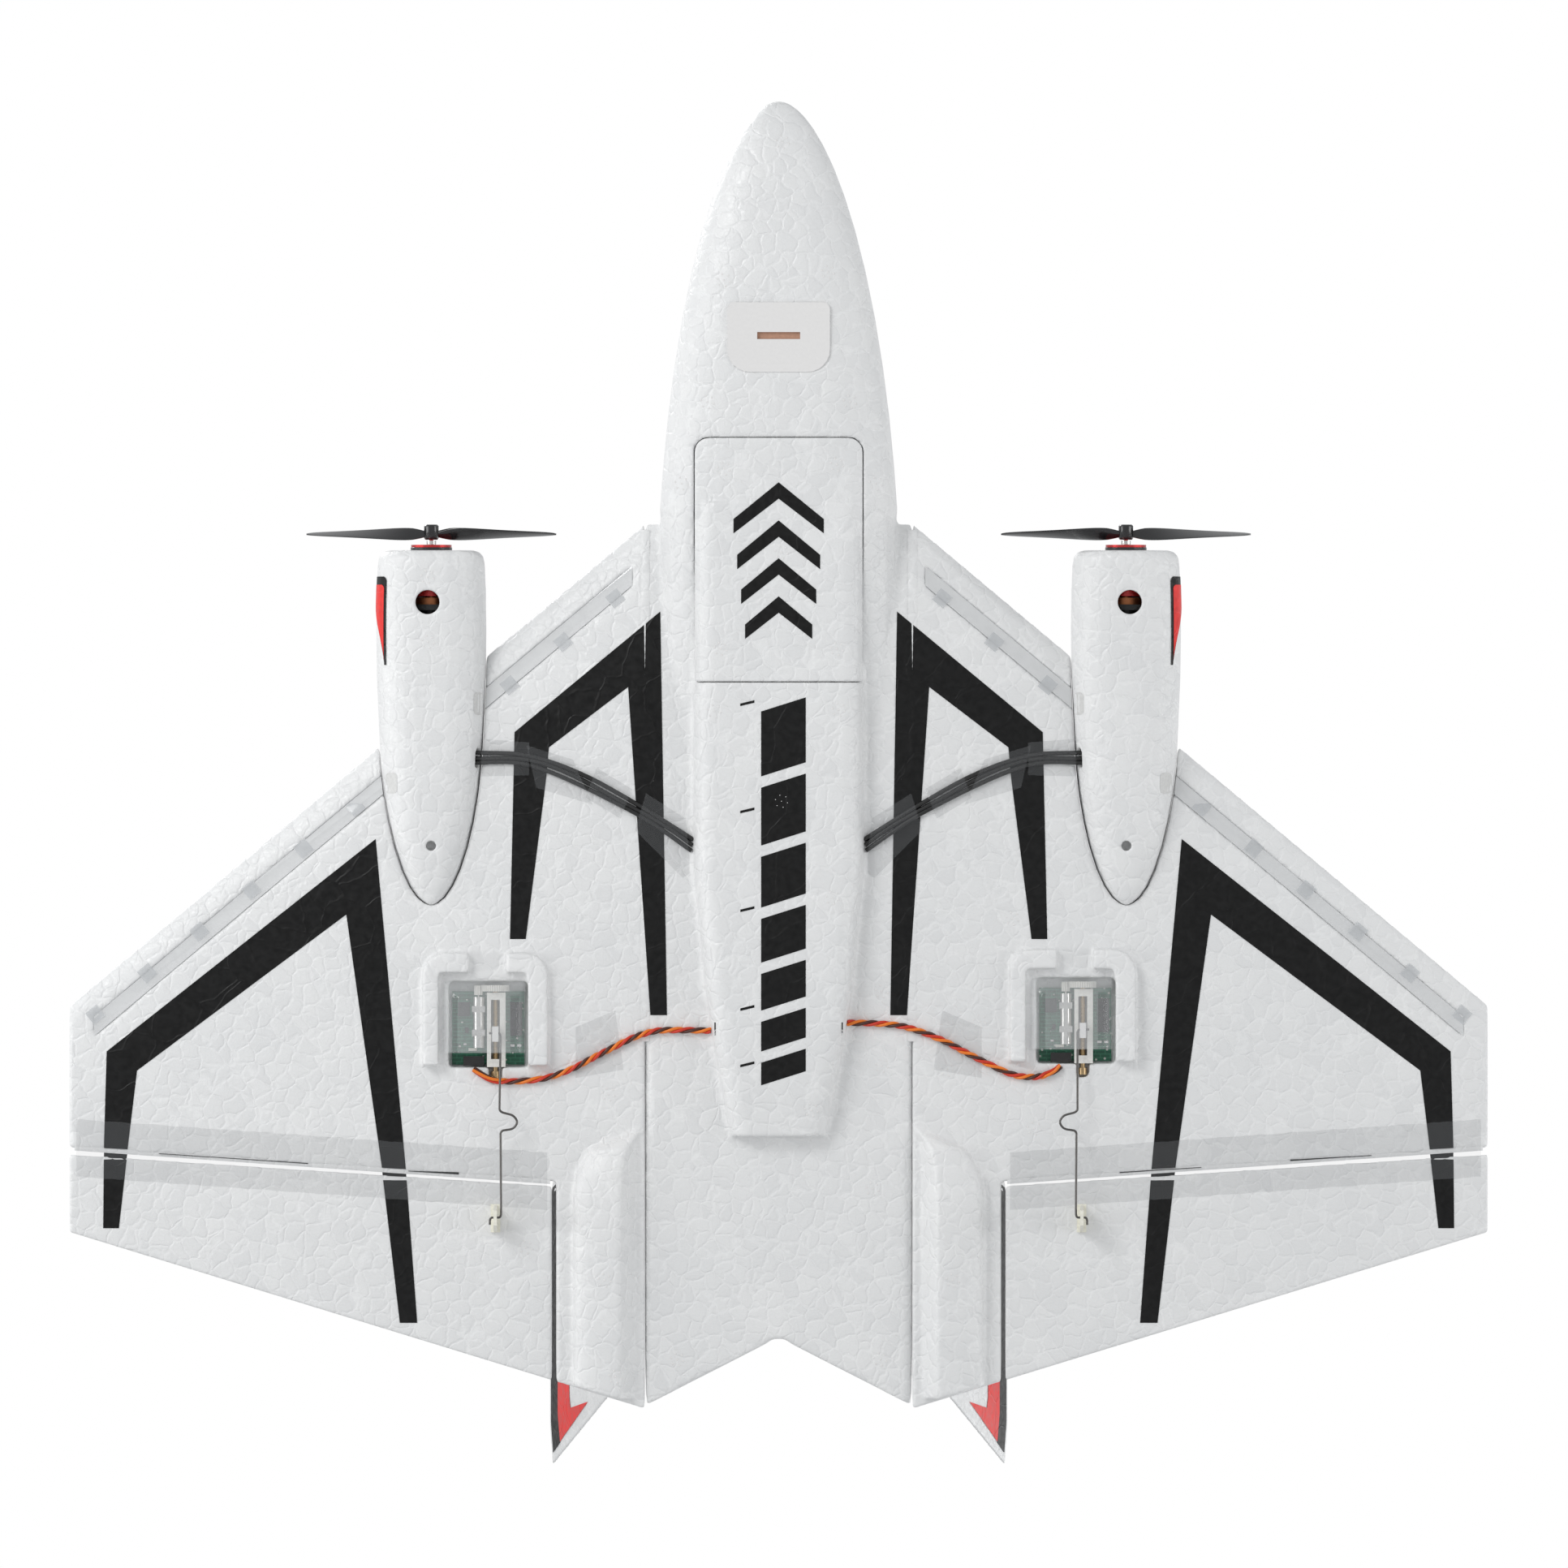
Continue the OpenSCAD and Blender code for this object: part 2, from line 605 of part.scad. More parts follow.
lead_r = 0.55;
lead_left = [[-108.4, 100.9], [-101.8, 104.5], [-94, 105.2], [-83.2, 104.1], [-73.7, 100.9],
    [-66.2, 97], [-59, 93.3], [-50.6, 89.3], [-42.8, 87.2], [-33.6, 87], [-24.2, 87.2]];
lead_right = [[100, 99.6], [97, 102], [91, 103.6], [83.2, 102.8], [73.7, 98.6], [66.2, 94.8], [59, 91],
    [50.6, 87.6], [42.8, 85.4], [33.6, 84.6], [24.4, 84.4]];
lead_steps = 4;
// Three twisted strands
module servo_lead(s) {
    route = s < 0 ? lead_left : lead_right;
    p = [for (q = route) under(q[0], q[1], 2 * lead_r + 0.1)];
    m = (len(p) - 1) * lead_steps;
    color("orangered") for (k = [0:2]) {
        centre = [for (i = [0:m]) route_at(p, i / lead_steps)];
        tube([for (i = [0:m]) let (a = 120 * k + i * 40,
            t = unit(centre[min(i + 1, m)] - centre[max(i - 1, 0)]), n = unit(cross(t, [0, 0, 1])),
            b = cross(n, t))
            centre[i] + 0.64 * (cos(a) * n + sin(a) * b)], lead_r - 0.02, 6);
    }
}
module left_servo_lead() servo_lead(-1);
module right_servo_lead() servo_lead(1);

// ---------- servos: x from the screw axis, y from the gear's front face ----------
// Control board in the bottom of the pocket
module servo_board(s) color("seagreen") at_servo(s) {
    translate([-15.4, 2.2, pocket_z - 1.1]) cube([25.6, 26, 1]);
    translate([-13.6, 5, pocket_z - 2.3]) cube([4, 5, 1.2]);
    translate([-13.8, 13, pocket_z - 2.1]) cube([2.4, 9, 1]);
}
module left_servo_board() servo_board(-1);
module right_servo_board() servo_board(1);

can_r = 2.05;
// Motor can in two saddles, parallel to the screw
module servo_motor(s) color("silver") at_servo(s) translate([-gear_gap, 4.2, screw_z]) rotate([-90, 0, 0])
    difference() {
        union() {
            cylinder(r = can_r, h = 18);
            for (z = [3.2, 11.6]) translate([-2.3, screw_z - pocket_z + 1.1, z])
                cube([4.6, pocket_z - screw_z + 1.1, 2.2]);
        }
        translate([0, 0, -1]) cylinder(r = 0.34, h = 30);
    }
module left_servo_motor() servo_motor(-1);
module right_servo_motor() servo_motor(1);

tooth = 2 * gear_gap / (gear_teeth + pinion_teeth);
// Tooth outline: flanks narrow towards the tip, with backlash
module gear_plan(z, turn) {
    r = z * tooth / 2;
    ro = r + 0.85 * tooth;
    ri = r - 1.15 * tooth;
    step = 360 / z;
    flank = [[ri, -0.31], [r, -0.19], [ro, -0.08], [ro, 0.08], [r, 0.19], [ri, 0.31]];
    rotate(turn) polygon([for (i = [0:z - 1]) for (q = flank)
        [q[0] * cos((i + q[1]) * step), q[0] * sin((i + q[1]) * step)]]);
}
// Pinion on the motor shaft
module pinion(s) color("white") at_servo(s) translate([-gear_gap, 0.1, screw_z]) rotate([-90, 0, 0]) {
    linear_extrude(3.4) gear_plan(pinion_teeth, 0);
    translate([0, 0, 3.4]) cylinder(r = 0.3, h = 6);
}
module left_pinion() pinion(-1);
module right_pinion() pinion(1);

gear_wide = 2.2;
module screw_gear(s) color("white") at_servo(s) translate([0, 0, screw_z]) rotate([-90, 0, 0])
    linear_extrude(gear_wide) gear_plan(gear_teeth, 180 + 180 / gear_teeth);
module left_screw_gear() screw_gear(-1);
module right_screw_gear() screw_gear(1);

screw_r = 0.85;
module lead_screw(s) color("peru") at_servo(s) translate([0, 0, screw_z]) rotate([-90, 0, 0]) {
    translate([0, 0, gear_wide]) cylinder(r = screw_r, h = 30.6 - gear_wide);
    translate([0, 0, 30.6]) cylinder(r = 1.5, h = 2.4);
}
module left_lead_screw() lead_screw(-1);
module right_lead_screw() lead_screw(1);

// Frame that carries the screw and guides the carriage
module rail_frame(s) color("whitesmoke") at_servo(s) difference() {
    translate([-3, 2.6, screw_z - 2.9]) cube([6.6, 26.4, pocket_z - screw_z + 1.8]);
    translate([-1.55, 5.2, screw_z - 4]) cube([3.1, 21, 8]);
    translate([0, 0, screw_z]) rotate([-90, 0, 0]) cylinder(r = screw_r + 0.05, h = 40);
}
module left_rail_frame() rail_frame(-1);
module right_rail_frame() rail_frame(1);

carriage_y = 14.6;
carriage_len = 5.4;
rod_r = 0.4;
rod_y = carriage_y + 2.4;
rod_z = screw_z - 5.9;
// Nut that travels along the screw, with the hole for the wire
module carriage(s) color("white") at_servo(s) difference() {
    union() {
        translate([-1.45, carriage_y, screw_z - 2]) cube([2.9, carriage_len, 4]);
        translate([-1.1, carriage_y, screw_z - 6.9]) cube([2.2, carriage_len, 5.4]);
    }
    translate([0, 0, screw_z]) rotate([-90, 0, 0]) cylinder(r = screw_r + 0.06, h = 40);
    translate([-5, rod_y, rod_z]) rotate([0, 90, 0]) cylinder(r = rod_r + 0.05, h = 10);
}
module left_carriage() carriage(-1);
module right_carriage() carriage(1);

// Clear blister over the servo, open at the back
cover_drop = 5.2;
module blister(grow) {
    hull() {
        translate([-18.3 - grow, -1.4 - grow, servo_z - 0.2]) cube([28.6 + 2 * grow, 28, 0.1]);
        translate([-13 - grow, 0.8 - grow, servo_z - cover_drop - grow]) cube([21 + 2 * grow, 25.8, 0.1]);
        translate([-15 - grow, -0.4 - grow, servo_z - 3 - grow]) cube([24 + 2 * grow, 27, 0.1]);
    }
}
module servo_cover(s) color(clear) at_servo(s) difference() {
    blister(0.3);
    translate([0, 0.01, 0.15]) blister(0);
    translate([-30, 24, 0]) cube([60, 10, servo_z + 2]);
}
module left_servo_cover() servo_cover(-1);
module right_servo_cover() servo_cover(1);

// Lead socket at the board's back edge
module servo_plug(s) color(dark) at_servo(s) translate([-11.4, 25.2, screw_z - 1.5]) cube([7.4, 3.4, 3.2]);
module left_servo_plug() servo_plug(-1);
module right_servo_plug() servo_plug(1);

horn_y = 153.4;
horn_x = [-98.6, 105.6];
horn_pin_z = hinge_z(100) - horn_drop;
// Side of the horn away from the centre
function horn_at(s) = s < 0 ? horn_x[0] : horn_x[1];
slot_r = 1.25;
// Blade with a hole, on a foot glued to the elevon
module horn(s) color("ivory") {
    x = horn_at(s);
    z = wing_z - skin(abs(x), horn_y);
    translate([x + s * 1.9, 0, 0]) difference() {
        rotate([90, 0, 90]) translate([0, 0, -0.6]) linear_extrude(1.2)
            polygon([[horn_y - 4.6, z + 1.2], [horn_y - 2.6, horn_pin_z - 2.6],
            [horn_y + 2.8, horn_pin_z - 2.6], [horn_y + 5.6, z + 1.2]]);
        translate([-3, horn_y + 0.45, horn_pin_z - 0.5]) rotate([0, 90, 0]) cylinder(r = slot_r, h = 6);
    }
    translate([x + s * 1.9 - 1.7, horn_y - 4.6, z - 0.7]) cube([3.4, 10, 1.2]);
}
module left_horn() horn(-1);
module right_horn() horn(1);

// Bent wire: hook in the carriage, a U bend for trimming, hook in the horn
module pushrod(s) color([0.3, 0.3, 0.32]) {
    x0 = s < 0 ? screw_left : screw_right;
    y0 = (s < 0 ? gear_left : gear_right) + rod_y;
    x1 = horn_at(s);
    fall = (horn_pin_z - rod_z) / (horn_y - y0);
    w = -s;
    run = [[x0 - w * 2.2, y0], [x0 + w * 1.5, y0], [x0 + w * 1.9, y0 + 1],
        [x1 - w * 0.4, 115.4], [x1 + w * 0.6, 116.2], [x1 + w * 4.6, 117.2], [x1 + w * 6.2, 119.6],
        [x1 + w * 4.6, 122], [x1 + w * 0.6, 122.6], [x1, 123.4], [x1 + w * 0.2, horn_y - 1],
        [x1 - w * 0.2, horn_y], [x1 - w * 3.4, horn_y], [x1 - w * 3.8, horn_y + 1],
        [x1 - w * 3.8, horn_y + 2.6]];
    tube([for (q = run) [q[0], q[1], rod_z + fall * (q[1] - y0)]], rod_r, 8);
}
module left_pushrod() pushrod(-1);
module right_pushrod() pushrod(1);

centre_body();
canopy();
left_wing();
right_wing();
left_elevon();
right_elevon();
left_fin();
right_fin();
left_nacelle_lower();
right_nacelle_lower();
left_nacelle_upper();
right_nacelle_upper();
battery_hatch();
nose_plate();
left_edge_strip();
right_edge_strip();
battery();
battery_strap();
flight_board();
speed_controllers();
left_motor_mount();
right_motor_mount();
left_stator();
right_stator();
left_motor_bell();
right_motor_bell();
left_collar();
right_collar();
left_propeller();
right_propeller();
left_motor_cables();
right_motor_cables();
left_servo_board();
right_servo_board();
left_servo_motor();
right_servo_motor();
left_pinion();
right_pinion();
left_lead_screw();
right_lead_screw();
left_screw_gear();
right_screw_gear();
left_rail_frame();
right_rail_frame();
left_carriage();
right_carriage();
left_servo_cover();
right_servo_cover();
left_servo_plug();
right_servo_plug();
left_servo_lead();
right_servo_lead();
left_pushrod();
right_pushrod();
left_horn();
right_horn();
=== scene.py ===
"""Looks of the tail-standing foam flying wing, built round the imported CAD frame. Metres throughout."""

import math

import bmesh
import bpy
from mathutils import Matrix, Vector
from mathutils.bvhtree import BVHTree


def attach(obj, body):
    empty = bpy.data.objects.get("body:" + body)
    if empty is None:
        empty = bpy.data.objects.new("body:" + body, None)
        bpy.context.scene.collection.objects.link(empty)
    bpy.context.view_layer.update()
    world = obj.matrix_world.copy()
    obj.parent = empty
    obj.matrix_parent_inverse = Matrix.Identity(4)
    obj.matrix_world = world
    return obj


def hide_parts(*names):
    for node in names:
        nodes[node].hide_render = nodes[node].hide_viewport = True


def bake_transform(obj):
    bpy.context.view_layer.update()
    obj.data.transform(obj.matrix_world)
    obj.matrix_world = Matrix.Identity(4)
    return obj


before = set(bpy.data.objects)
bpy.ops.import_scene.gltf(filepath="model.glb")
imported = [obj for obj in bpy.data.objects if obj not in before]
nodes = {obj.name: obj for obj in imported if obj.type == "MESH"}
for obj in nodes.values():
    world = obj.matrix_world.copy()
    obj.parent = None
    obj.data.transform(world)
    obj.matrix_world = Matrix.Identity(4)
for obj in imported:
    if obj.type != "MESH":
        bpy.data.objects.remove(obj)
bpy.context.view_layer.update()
MM = 0.001
SIDES = (("left", -1), ("right", 1))

# ---------------------------------------------------------------- wing shape, as in the design
SPAN_HALF, ROOT_X, WING_Z = 251.7, 47.5, 21.0
LE_ROOT, LE_TIP, TE_ROOT, TE_TIP = -93.0, 78.0, 221.5, 158.8
ROOT_T, TIP_T, EDGE_HALF = 22.0, 7.0, 0.8
HINGE_IN_X, HINGE_IN_Y, HINGE_OUT_Y = 80.5, 140.7, 128.7
MOTOR_X, PROP_Y, PROP_D, PROP_PITCH = 123.3, -89.1, 88.7, 60.0


def line_at(x, x0, y0, x1, y1):
    return y0 + (x - x0) * (y1 - y0) / (x1 - x0)


def le(x):
    return line_at(x, ROOT_X, LE_ROOT, SPAN_HALF, LE_TIP)


def te(x):
    return line_at(x, ROOT_X, TE_ROOT, SPAN_HALF, TE_TIP)


def hinge_y(x):
    return line_at(x, HINGE_IN_X, HINGE_IN_Y, SPAN_HALF, HINGE_OUT_Y)


def skin(x, y):
    """Half thickness of the wing in mm at a plan point."""
    x = max(abs(x), ROOT_X)
    c = min(max((y - le(x)) / (te(x) - le(x)), 0), 1)
    t = line_at(x, ROOT_X, ROOT_T, SPAN_HALF, TIP_T)
    foil = 0.2969 * math.sqrt(c) - 0.126 * c - 0.3516 * c**2 + 0.2843 * c**3 - 0.1015 * c**4
    return t * 5 * foil + EDGE_HALF * c


# ---------------------------------------------------------------- materials
class Tree:
    """A short way to write a material's nodes."""

    def __init__(self, name):
        self.mat = bpy.data.materials.new(name)
        self.mat.use_nodes = True
        self.nodes = self.mat.node_tree.nodes
        self.links = self.mat.node_tree.links
        self.bsdf = self.nodes["Principled BSDF"]

    def node(self, kind, **values):
        n = self.nodes.new(kind)
        for key, value in values.items():
            if hasattr(n, key):
                setattr(n, key, value)
            else:
                n.inputs[key.replace("_", " ")].default_value = value
        return n

    def link(self, a, b):
        self.links.new(a, b)

    def maths(self, op, a, b):
        n = self.node("ShaderNodeMath", operation=op)
        for i, v in enumerate((a, b)):
            if isinstance(v, (int, float)):
                n.inputs[i].default_value = v
            else:
                self.link(v, n.inputs[i])
        return n.outputs[0]

    def coords(self, wobble=0.0, wobble_scale=200.0):
        at = self.node("ShaderNodeTexCoord").outputs["Object"]
        if not wobble:
            return at
        noise = self.node("ShaderNodeTexNoise", Scale=wobble_scale, Detail=2.0)
        self.link(at, noise.inputs["Vector"])
        mid = self.node("ShaderNodeVectorMath", operation="SUBTRACT")
        mid.inputs[1].default_value = (0.5, 0.5, 0.5)
        self.link(noise.outputs["Color"], mid.inputs[0])
        scaled = self.node("ShaderNodeVectorMath", operation="SCALE")
        scaled.inputs["Scale"].default_value = wobble
        self.link(mid.outputs[0], scaled.inputs[0])
        added = self.node("ShaderNodeVectorMath", operation="ADD")
        self.link(at, added.inputs[0])
        self.link(scaled.outputs[0], added.inputs[1])
        return added.outputs[0]

    def ramp(self, value, stops):
        n = self.node("ShaderNodeValToRGB")
        while len(n.color_ramp.elements) < len(stops):
            n.color_ramp.elements.new(0.5)
        for e, (pos, col) in zip(n.color_ramp.elements, stops, strict=True):
            e.position = pos
            e.color = (*col, 1) if isinstance(col, tuple) else (col, col, col, 1)
        self.link(value, n.inputs[0])
        return n.outputs["Color"]

    def bump(self, height, strength, distance, normal=None):
        n = self.node("ShaderNodeBump", Strength=strength, Distance=distance)
        self.link(height, n.inputs["Height"])
        if normal:
            self.link(normal, n.inputs["Normal"])
        return n.outputs["Normal"]

    def multiply(self, a, b, share=1.0):
        n = self.node("ShaderNodeMix", data_type="RGBA", blend_type="MULTIPLY")
        n.inputs["Factor"].default_value = share
        self.link(a, n.inputs[6])
        self.link(b, n.inputs[7])
        return n.outputs[2]


def tone(colour, k):
    return tuple(min(c * k, 1) for c in colour)


def foam_material():
    """Moulded bead foam: irregular beads 4 to 7 mm wide, with fine bright seams and tiny wrinkles."""
    t = Tree("bead_foam")
    at = t.coords(0.0045, 170.0)
    seam = t.node("ShaderNodeTexVoronoi", feature="DISTANCE_TO_EDGE", Scale=185.0)
    bead = t.node("ShaderNodeTexVoronoi", feature="F1", Scale=185.0)
    fine = t.node("ShaderNodeTexNoise", Scale=1100.0, Detail=4.0)
    crease = t.node("ShaderNodeTexVoronoi", feature="DISTANCE_TO_EDGE", Scale=520.0)
    cloud = t.node("ShaderNodeTexNoise", Scale=26.0, Detail=3.0)
    for n in (seam, bead, fine, crease, cloud):
        t.link(at, n.inputs["Vector"])
    base = t.ramp(bead.outputs["Color"], [(0.1, (0.82, 0.823, 0.823)), (0.9, (0.865, 0.867, 0.864))])
    seams = t.ramp(seam.outputs["Distance"], [(0.0, 1.0), (0.035, 1.0), (0.11, 0.945), (0.3, 0.955)])
    clouds = t.ramp(cloud.outputs["Fac"], [(0.3, (0.97, 0.973, 0.976)), (0.7, 1.0)])
    t.link(t.multiply(t.multiply(base, seams, 0.8), clouds), t.bsdf.inputs["Base Color"])
    t.link(t.ramp(fine.outputs["Fac"], [(0.35, 0.3), (0.7, 0.52)]), t.bsdf.inputs["Roughness"])
    pillow = t.ramp(seam.outputs["Distance"], [(0.0, 0.0), (0.12, 0.75), (0.4, 1.0)])
    lines = t.ramp(crease.outputs["Distance"], [(0.0, 1.0), (0.08, 0.0)])
    normal = t.bump(pillow, 0.75, 0.00028)
    normal = t.bump(lines, 0.35, 0.0001, normal)
    normal = t.bump(fine.outputs["Fac"], 0.25, 0.00007, normal)
    t.link(normal, t.bsdf.inputs["Normal"])
    t.bsdf.inputs["Specular IOR Level"].default_value = 0.55
    t.bsdf.inputs["Subsurface Weight"].default_value = 0.12
    t.bsdf.inputs["Subsurface Radius"].default_value = (0.004, 0.004, 0.004)
    t.bsdf.inputs["Subsurface Scale"].default_value = 0.4
    return t.mat


def decal_material(name, colour):
    """Glossy printed film pressed on the beads, with fine wrinkles that catch the light."""
    t = Tree(name)
    at = t.coords(0.006, 90.0)
    bead = t.node("ShaderNodeTexVoronoi", feature="DISTANCE_TO_EDGE", Scale=150.0)
    wrinkle = t.node("ShaderNodeTexVoronoi", feature="DISTANCE_TO_EDGE", Scale=75.0)
    wear = t.node("ShaderNodeTexNoise", Scale=420.0, Detail=5.0)
    for n in (bead, wrinkle, wear):
        t.link(at, n.inputs["Vector"])
    low, high = tone(colour, 0.85), tuple(min(c * 1.12 + 0.004, 1) for c in colour)
    t.link(t.ramp(wear.outputs["Fac"], [(0.3, low), (0.7, high)]), t.bsdf.inputs["Base Color"])
    t.link(t.ramp(wear.outputs["Fac"], [(0.3, 0.28), (0.7, 0.5)]), t.bsdf.inputs["Roughness"])
    t.bsdf.inputs["Specular IOR Level"].default_value = 0.22
    fold = t.ramp(wrinkle.outputs["Distance"], [(0.0, 1.0), (0.035, 0.0)])
    normal = t.bump(t.ramp(bead.outputs["Distance"], [(0.0, 0.0), (0.3, 1.0)]), 0.3, 0.00015)
    t.link(t.bump(fold, 0.55, 0.00022, normal), t.bsdf.inputs["Normal"])
    return t.mat


def plain_material(name, colour, rough, metal=0.0, grain=900.0, relief=0.08, coat=0.0, spread=0.08):
    """A moulded, cast or drawn surface: fine grain in colour, gloss and relief."""
    t = Tree(name)
    at = t.coords()
    grit = t.node("ShaderNodeTexNoise", Scale=grain, Detail=4.0)
    t.link(at, grit.inputs["Vector"])
    t.link(t.ramp(grit.outputs["Fac"], [(0.3, tone(colour, 1 - spread)), (0.7, tone(colour, 1 + spread))]),
           t.bsdf.inputs["Base Color"])
    t.link(t.ramp(grit.outputs["Fac"], [(0.3, rough * 0.8), (0.7, min(rough * 1.25, 1))]),
           t.bsdf.inputs["Roughness"])
    t.link(t.bump(grit.outputs["Fac"], relief, 0.00005), t.bsdf.inputs["Normal"])
    t.bsdf.inputs["Metallic"].default_value = metal
    t.bsdf.inputs["Coat Weight"].default_value = coat
    return t.mat


def clear_material(name, tint, show, rough, crinkle):
    """Thin clear film: mostly see-through, with gloss."""
    t = Tree(name)
    at = t.coords()
    waves = t.node("ShaderNodeTexNoise", Scale=crinkle, Detail=3.0)
    t.link(at, waves.inputs["Vector"])
    t.link(t.ramp(waves.outputs["Fac"], [(0.3, tone(tint, 0.97)), (0.7, tint)]), t.bsdf.inputs["Base Color"])
    t.bsdf.inputs["Roughness"].default_value = rough
    t.bsdf.inputs["Alpha"].default_value = show
    t.link(t.bump(waves.outputs["Fac"], 0.25, 0.0003), t.bsdf.inputs["Normal"])
    t.bsdf.inputs["Specular IOR Level"].default_value = 1.0
    t.bsdf.inputs["Coat Weight"].default_value = 1.0
    t.bsdf.inputs["Coat Roughness"].default_value = 0.04
    return t.mat


def board_material():
    """Green circuit board with lighter tracks and bright solder pads."""
    t = Tree("circuit_green")
    at = t.coords()
    track = t.node("ShaderNodeTexBrick", Scale=260.0, Mortar_Size=0.03, Brick_Width=0.9, Row_Height=0.35)
    t.link(at, track.inputs["Vector"])
    track.inputs["Color1"].default_value = (0.008, 0.10, 0.055, 1)
    track.inputs["Color2"].default_value = (0.012, 0.14, 0.075, 1)
    track.inputs["Mortar"].default_value = (0.05, 0.26, 0.15, 1)
    pads = t.node("ShaderNodeTexVoronoi", feature="F1", Scale=420.0)
    t.link(at, pads.inputs["Vector"])
    spots = t.ramp(pads.outputs["Distance"], [(0.16, 1.0), (0.2, 0.0)])
    mix = t.node("ShaderNodeMix", data_type="RGBA")
    mix.inputs[7].default_value = (0.62, 0.62, 0.58, 1)
    t.link(spots, mix.inputs["Factor"])
    t.link(track.outputs["Color"], mix.inputs[6])
    t.link(mix.outputs[2], t.bsdf.inputs["Base Color"])
    t.link(t.bump(spots, 0.4, 0.0001), t.bsdf.inputs["Normal"])
    t.bsdf.inputs["Roughness"].default_value = 0.32
    return t.mat


BLACK, RED = (0.006, 0.006, 0.006), (0.78, 0.04, 0.035)
M = {
    "foam": foam_material(),
    "black_film": decal_material("black_film", BLACK),
    "red_film": decal_material("red_film", RED),
    "smoke_film": decal_material("smoke_film", (0.03, 0.033, 0.04)),
    "white_plastic": plain_material("white_plastic", (0.80, 0.79, 0.782), 0.4, relief=0.03, spread=0.015),
    "milky": plain_material("milky_nylon", (0.78, 0.77, 0.73), 0.42, relief=0.06),
    "cream": plain_material("cream_nylon", (0.83, 0.815, 0.72), 0.35, relief=0.05),
    "clear": clear_material("clear_blister", (0.93, 0.95, 0.96), 0.16, 0.05, 60.0),
    "tape": clear_material("clear_tape", (0.30, 0.31, 0.32), 0.13, 0.05, 120.0),
    "window": clear_material("frosted_window", (0.60, 0.62, 0.64), 0.5, 0.3, 300.0),
    # Grey that paints the shade inside the nacelle notches
    "notch": plain_material("notch_painted_shade", (0.66, 0.66, 0.65), 0.5, relief=0.05),
    # Painted highlight for the blister's steep sides, partly the whitened bend of the formed plastic
    "painted_highlight": clear_material("blister_bend_and_painted_highlight", (0.97, 0.98, 1.0), 0.1, 0.62, 40.0),
    "strip": clear_material("frosted_strip", (0.86, 0.87, 0.875), 0.6, 0.3, 300.0),
    "board": board_material(),
    "black_plastic": plain_material("black_plastic", (0.018, 0.018, 0.018), 0.42, relief=0.15),
    "black_gloss": plain_material("black_gloss", (0.012, 0.012, 0.013), 0.22, relief=0.05, coat=0.4),
    "cable": plain_material("black_cable", (0.015, 0.015, 0.015), 0.3, relief=0.1),
    "steel": plain_material("bright_steel", (0.72, 0.71, 0.69), 0.2, 1.0),
    "wire": plain_material("dark_wire", (0.13, 0.125, 0.12), 0.32, 0.8),
    "brass": plain_material("brass_screw", (0.50, 0.36, 0.20), 0.3, 1.0),
    "copper": plain_material("copper_coil", (0.42, 0.16, 0.07), 0.35, 0.9),
    "bell": plain_material("red_bell", (0.55, 0.02, 0.02), 0.25, 0.5, coat=0.5),
    "battery": plain_material("blue_wrap", (0.03, 0.06, 0.28), 0.3, relief=0.1),
    "strap": plain_material("woven_strap", (0.02, 0.02, 0.02), 0.85, grain=1600.0, relief=0.5),
    "brown_lead": plain_material("brown_lead", (0.07, 0.022, 0.015), 0.35),
    "red_lead": plain_material("red_lead", (0.62, 0.035, 0.012), 0.35),
    "orange_lead": plain_material("orange_lead", (0.85, 0.20, 0.015), 0.35),
    "pocket_brown": plain_material("pocket_brown", (0.50, 0.28, 0.19), 0.6),
}


def paint(obj, key):
    obj.data.materials.clear()
    obj.data.materials.append(M[key])


def smooth(mesh, angle=None):
    for p in mesh.polygons:
        p.use_smooth = True
    if angle is not None:
        mesh.set_sharp_from_angle(angle=math.radians(angle))


# ---------------------------------------------------------------- CAD nodes that stay
# Voxel sizes in mm for the foam pieces, which are remeshed and softened
FOAM = {"centre_body": 0.95, "canopy": 1.2, "battery_hatch": 0.5, "wing": 0.8, "elevon": 0.6, "fin": 0.55,
        "nacelle_lower": 0.55, "nacelle_upper": 0.7}
FINISH = {
    "nose_plate": "white_plastic", "edge_strip": "strip", "battery": "battery", "battery_strap": "strap",
    "flight_board": "board", "speed_controllers": "board", "motor_mount": "black_plastic", "stator": "copper",
    "motor_bell": "bell", "collar": "steel", "servo_board": "board", "servo_motor": "steel", "pinion": "milky",
    "screw_gear": "milky", "lead_screw": "brass", "rail_frame": "milky", "carriage": "white_plastic",
    "servo_plug": "black_plastic", "horn": "cream",
}


def bare(name):
    return name.split("_", 1)[1] if name.startswith(("left_", "right_")) else name


for name, obj in nodes.items():
    kind = bare(name)
    if kind in FOAM:
        paint(obj, "foam")
        remesh = obj.modifiers.new("beads", "REMESH")
        remesh.mode = "VOXEL"
        remesh.voxel_size = FOAM[kind] * MM * 1.0
        remesh.use_smooth_shade = True
        soften = obj.modifiers.new("soften", "SMOOTH")
        soften.factor, soften.iterations = 0.5, 4
    elif kind in FINISH:
        paint(obj, FINISH[kind])
        smooth(obj.data, 35)


# ---------------------------------------------------------------- building helpers
def add_mesh(name, verts, faces, key, body, sharp=40):
    mesh = bpy.data.meshes.new(name)
    mesh.from_pydata([tuple(c * MM for c in v) for v in verts], [], faces)
    bm = bmesh.new()
    bm.from_mesh(mesh)
    bmesh.ops.recalc_face_normals(bm, faces=bm.faces)
    bm.to_mesh(mesh)
    bm.free()
    smooth(mesh, sharp)
    obj = bpy.data.objects.new(name, mesh)
    bpy.context.scene.collection.objects.link(obj)
    obj.data.materials.append(M[key])
    if body:
        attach(obj, body)
    return obj


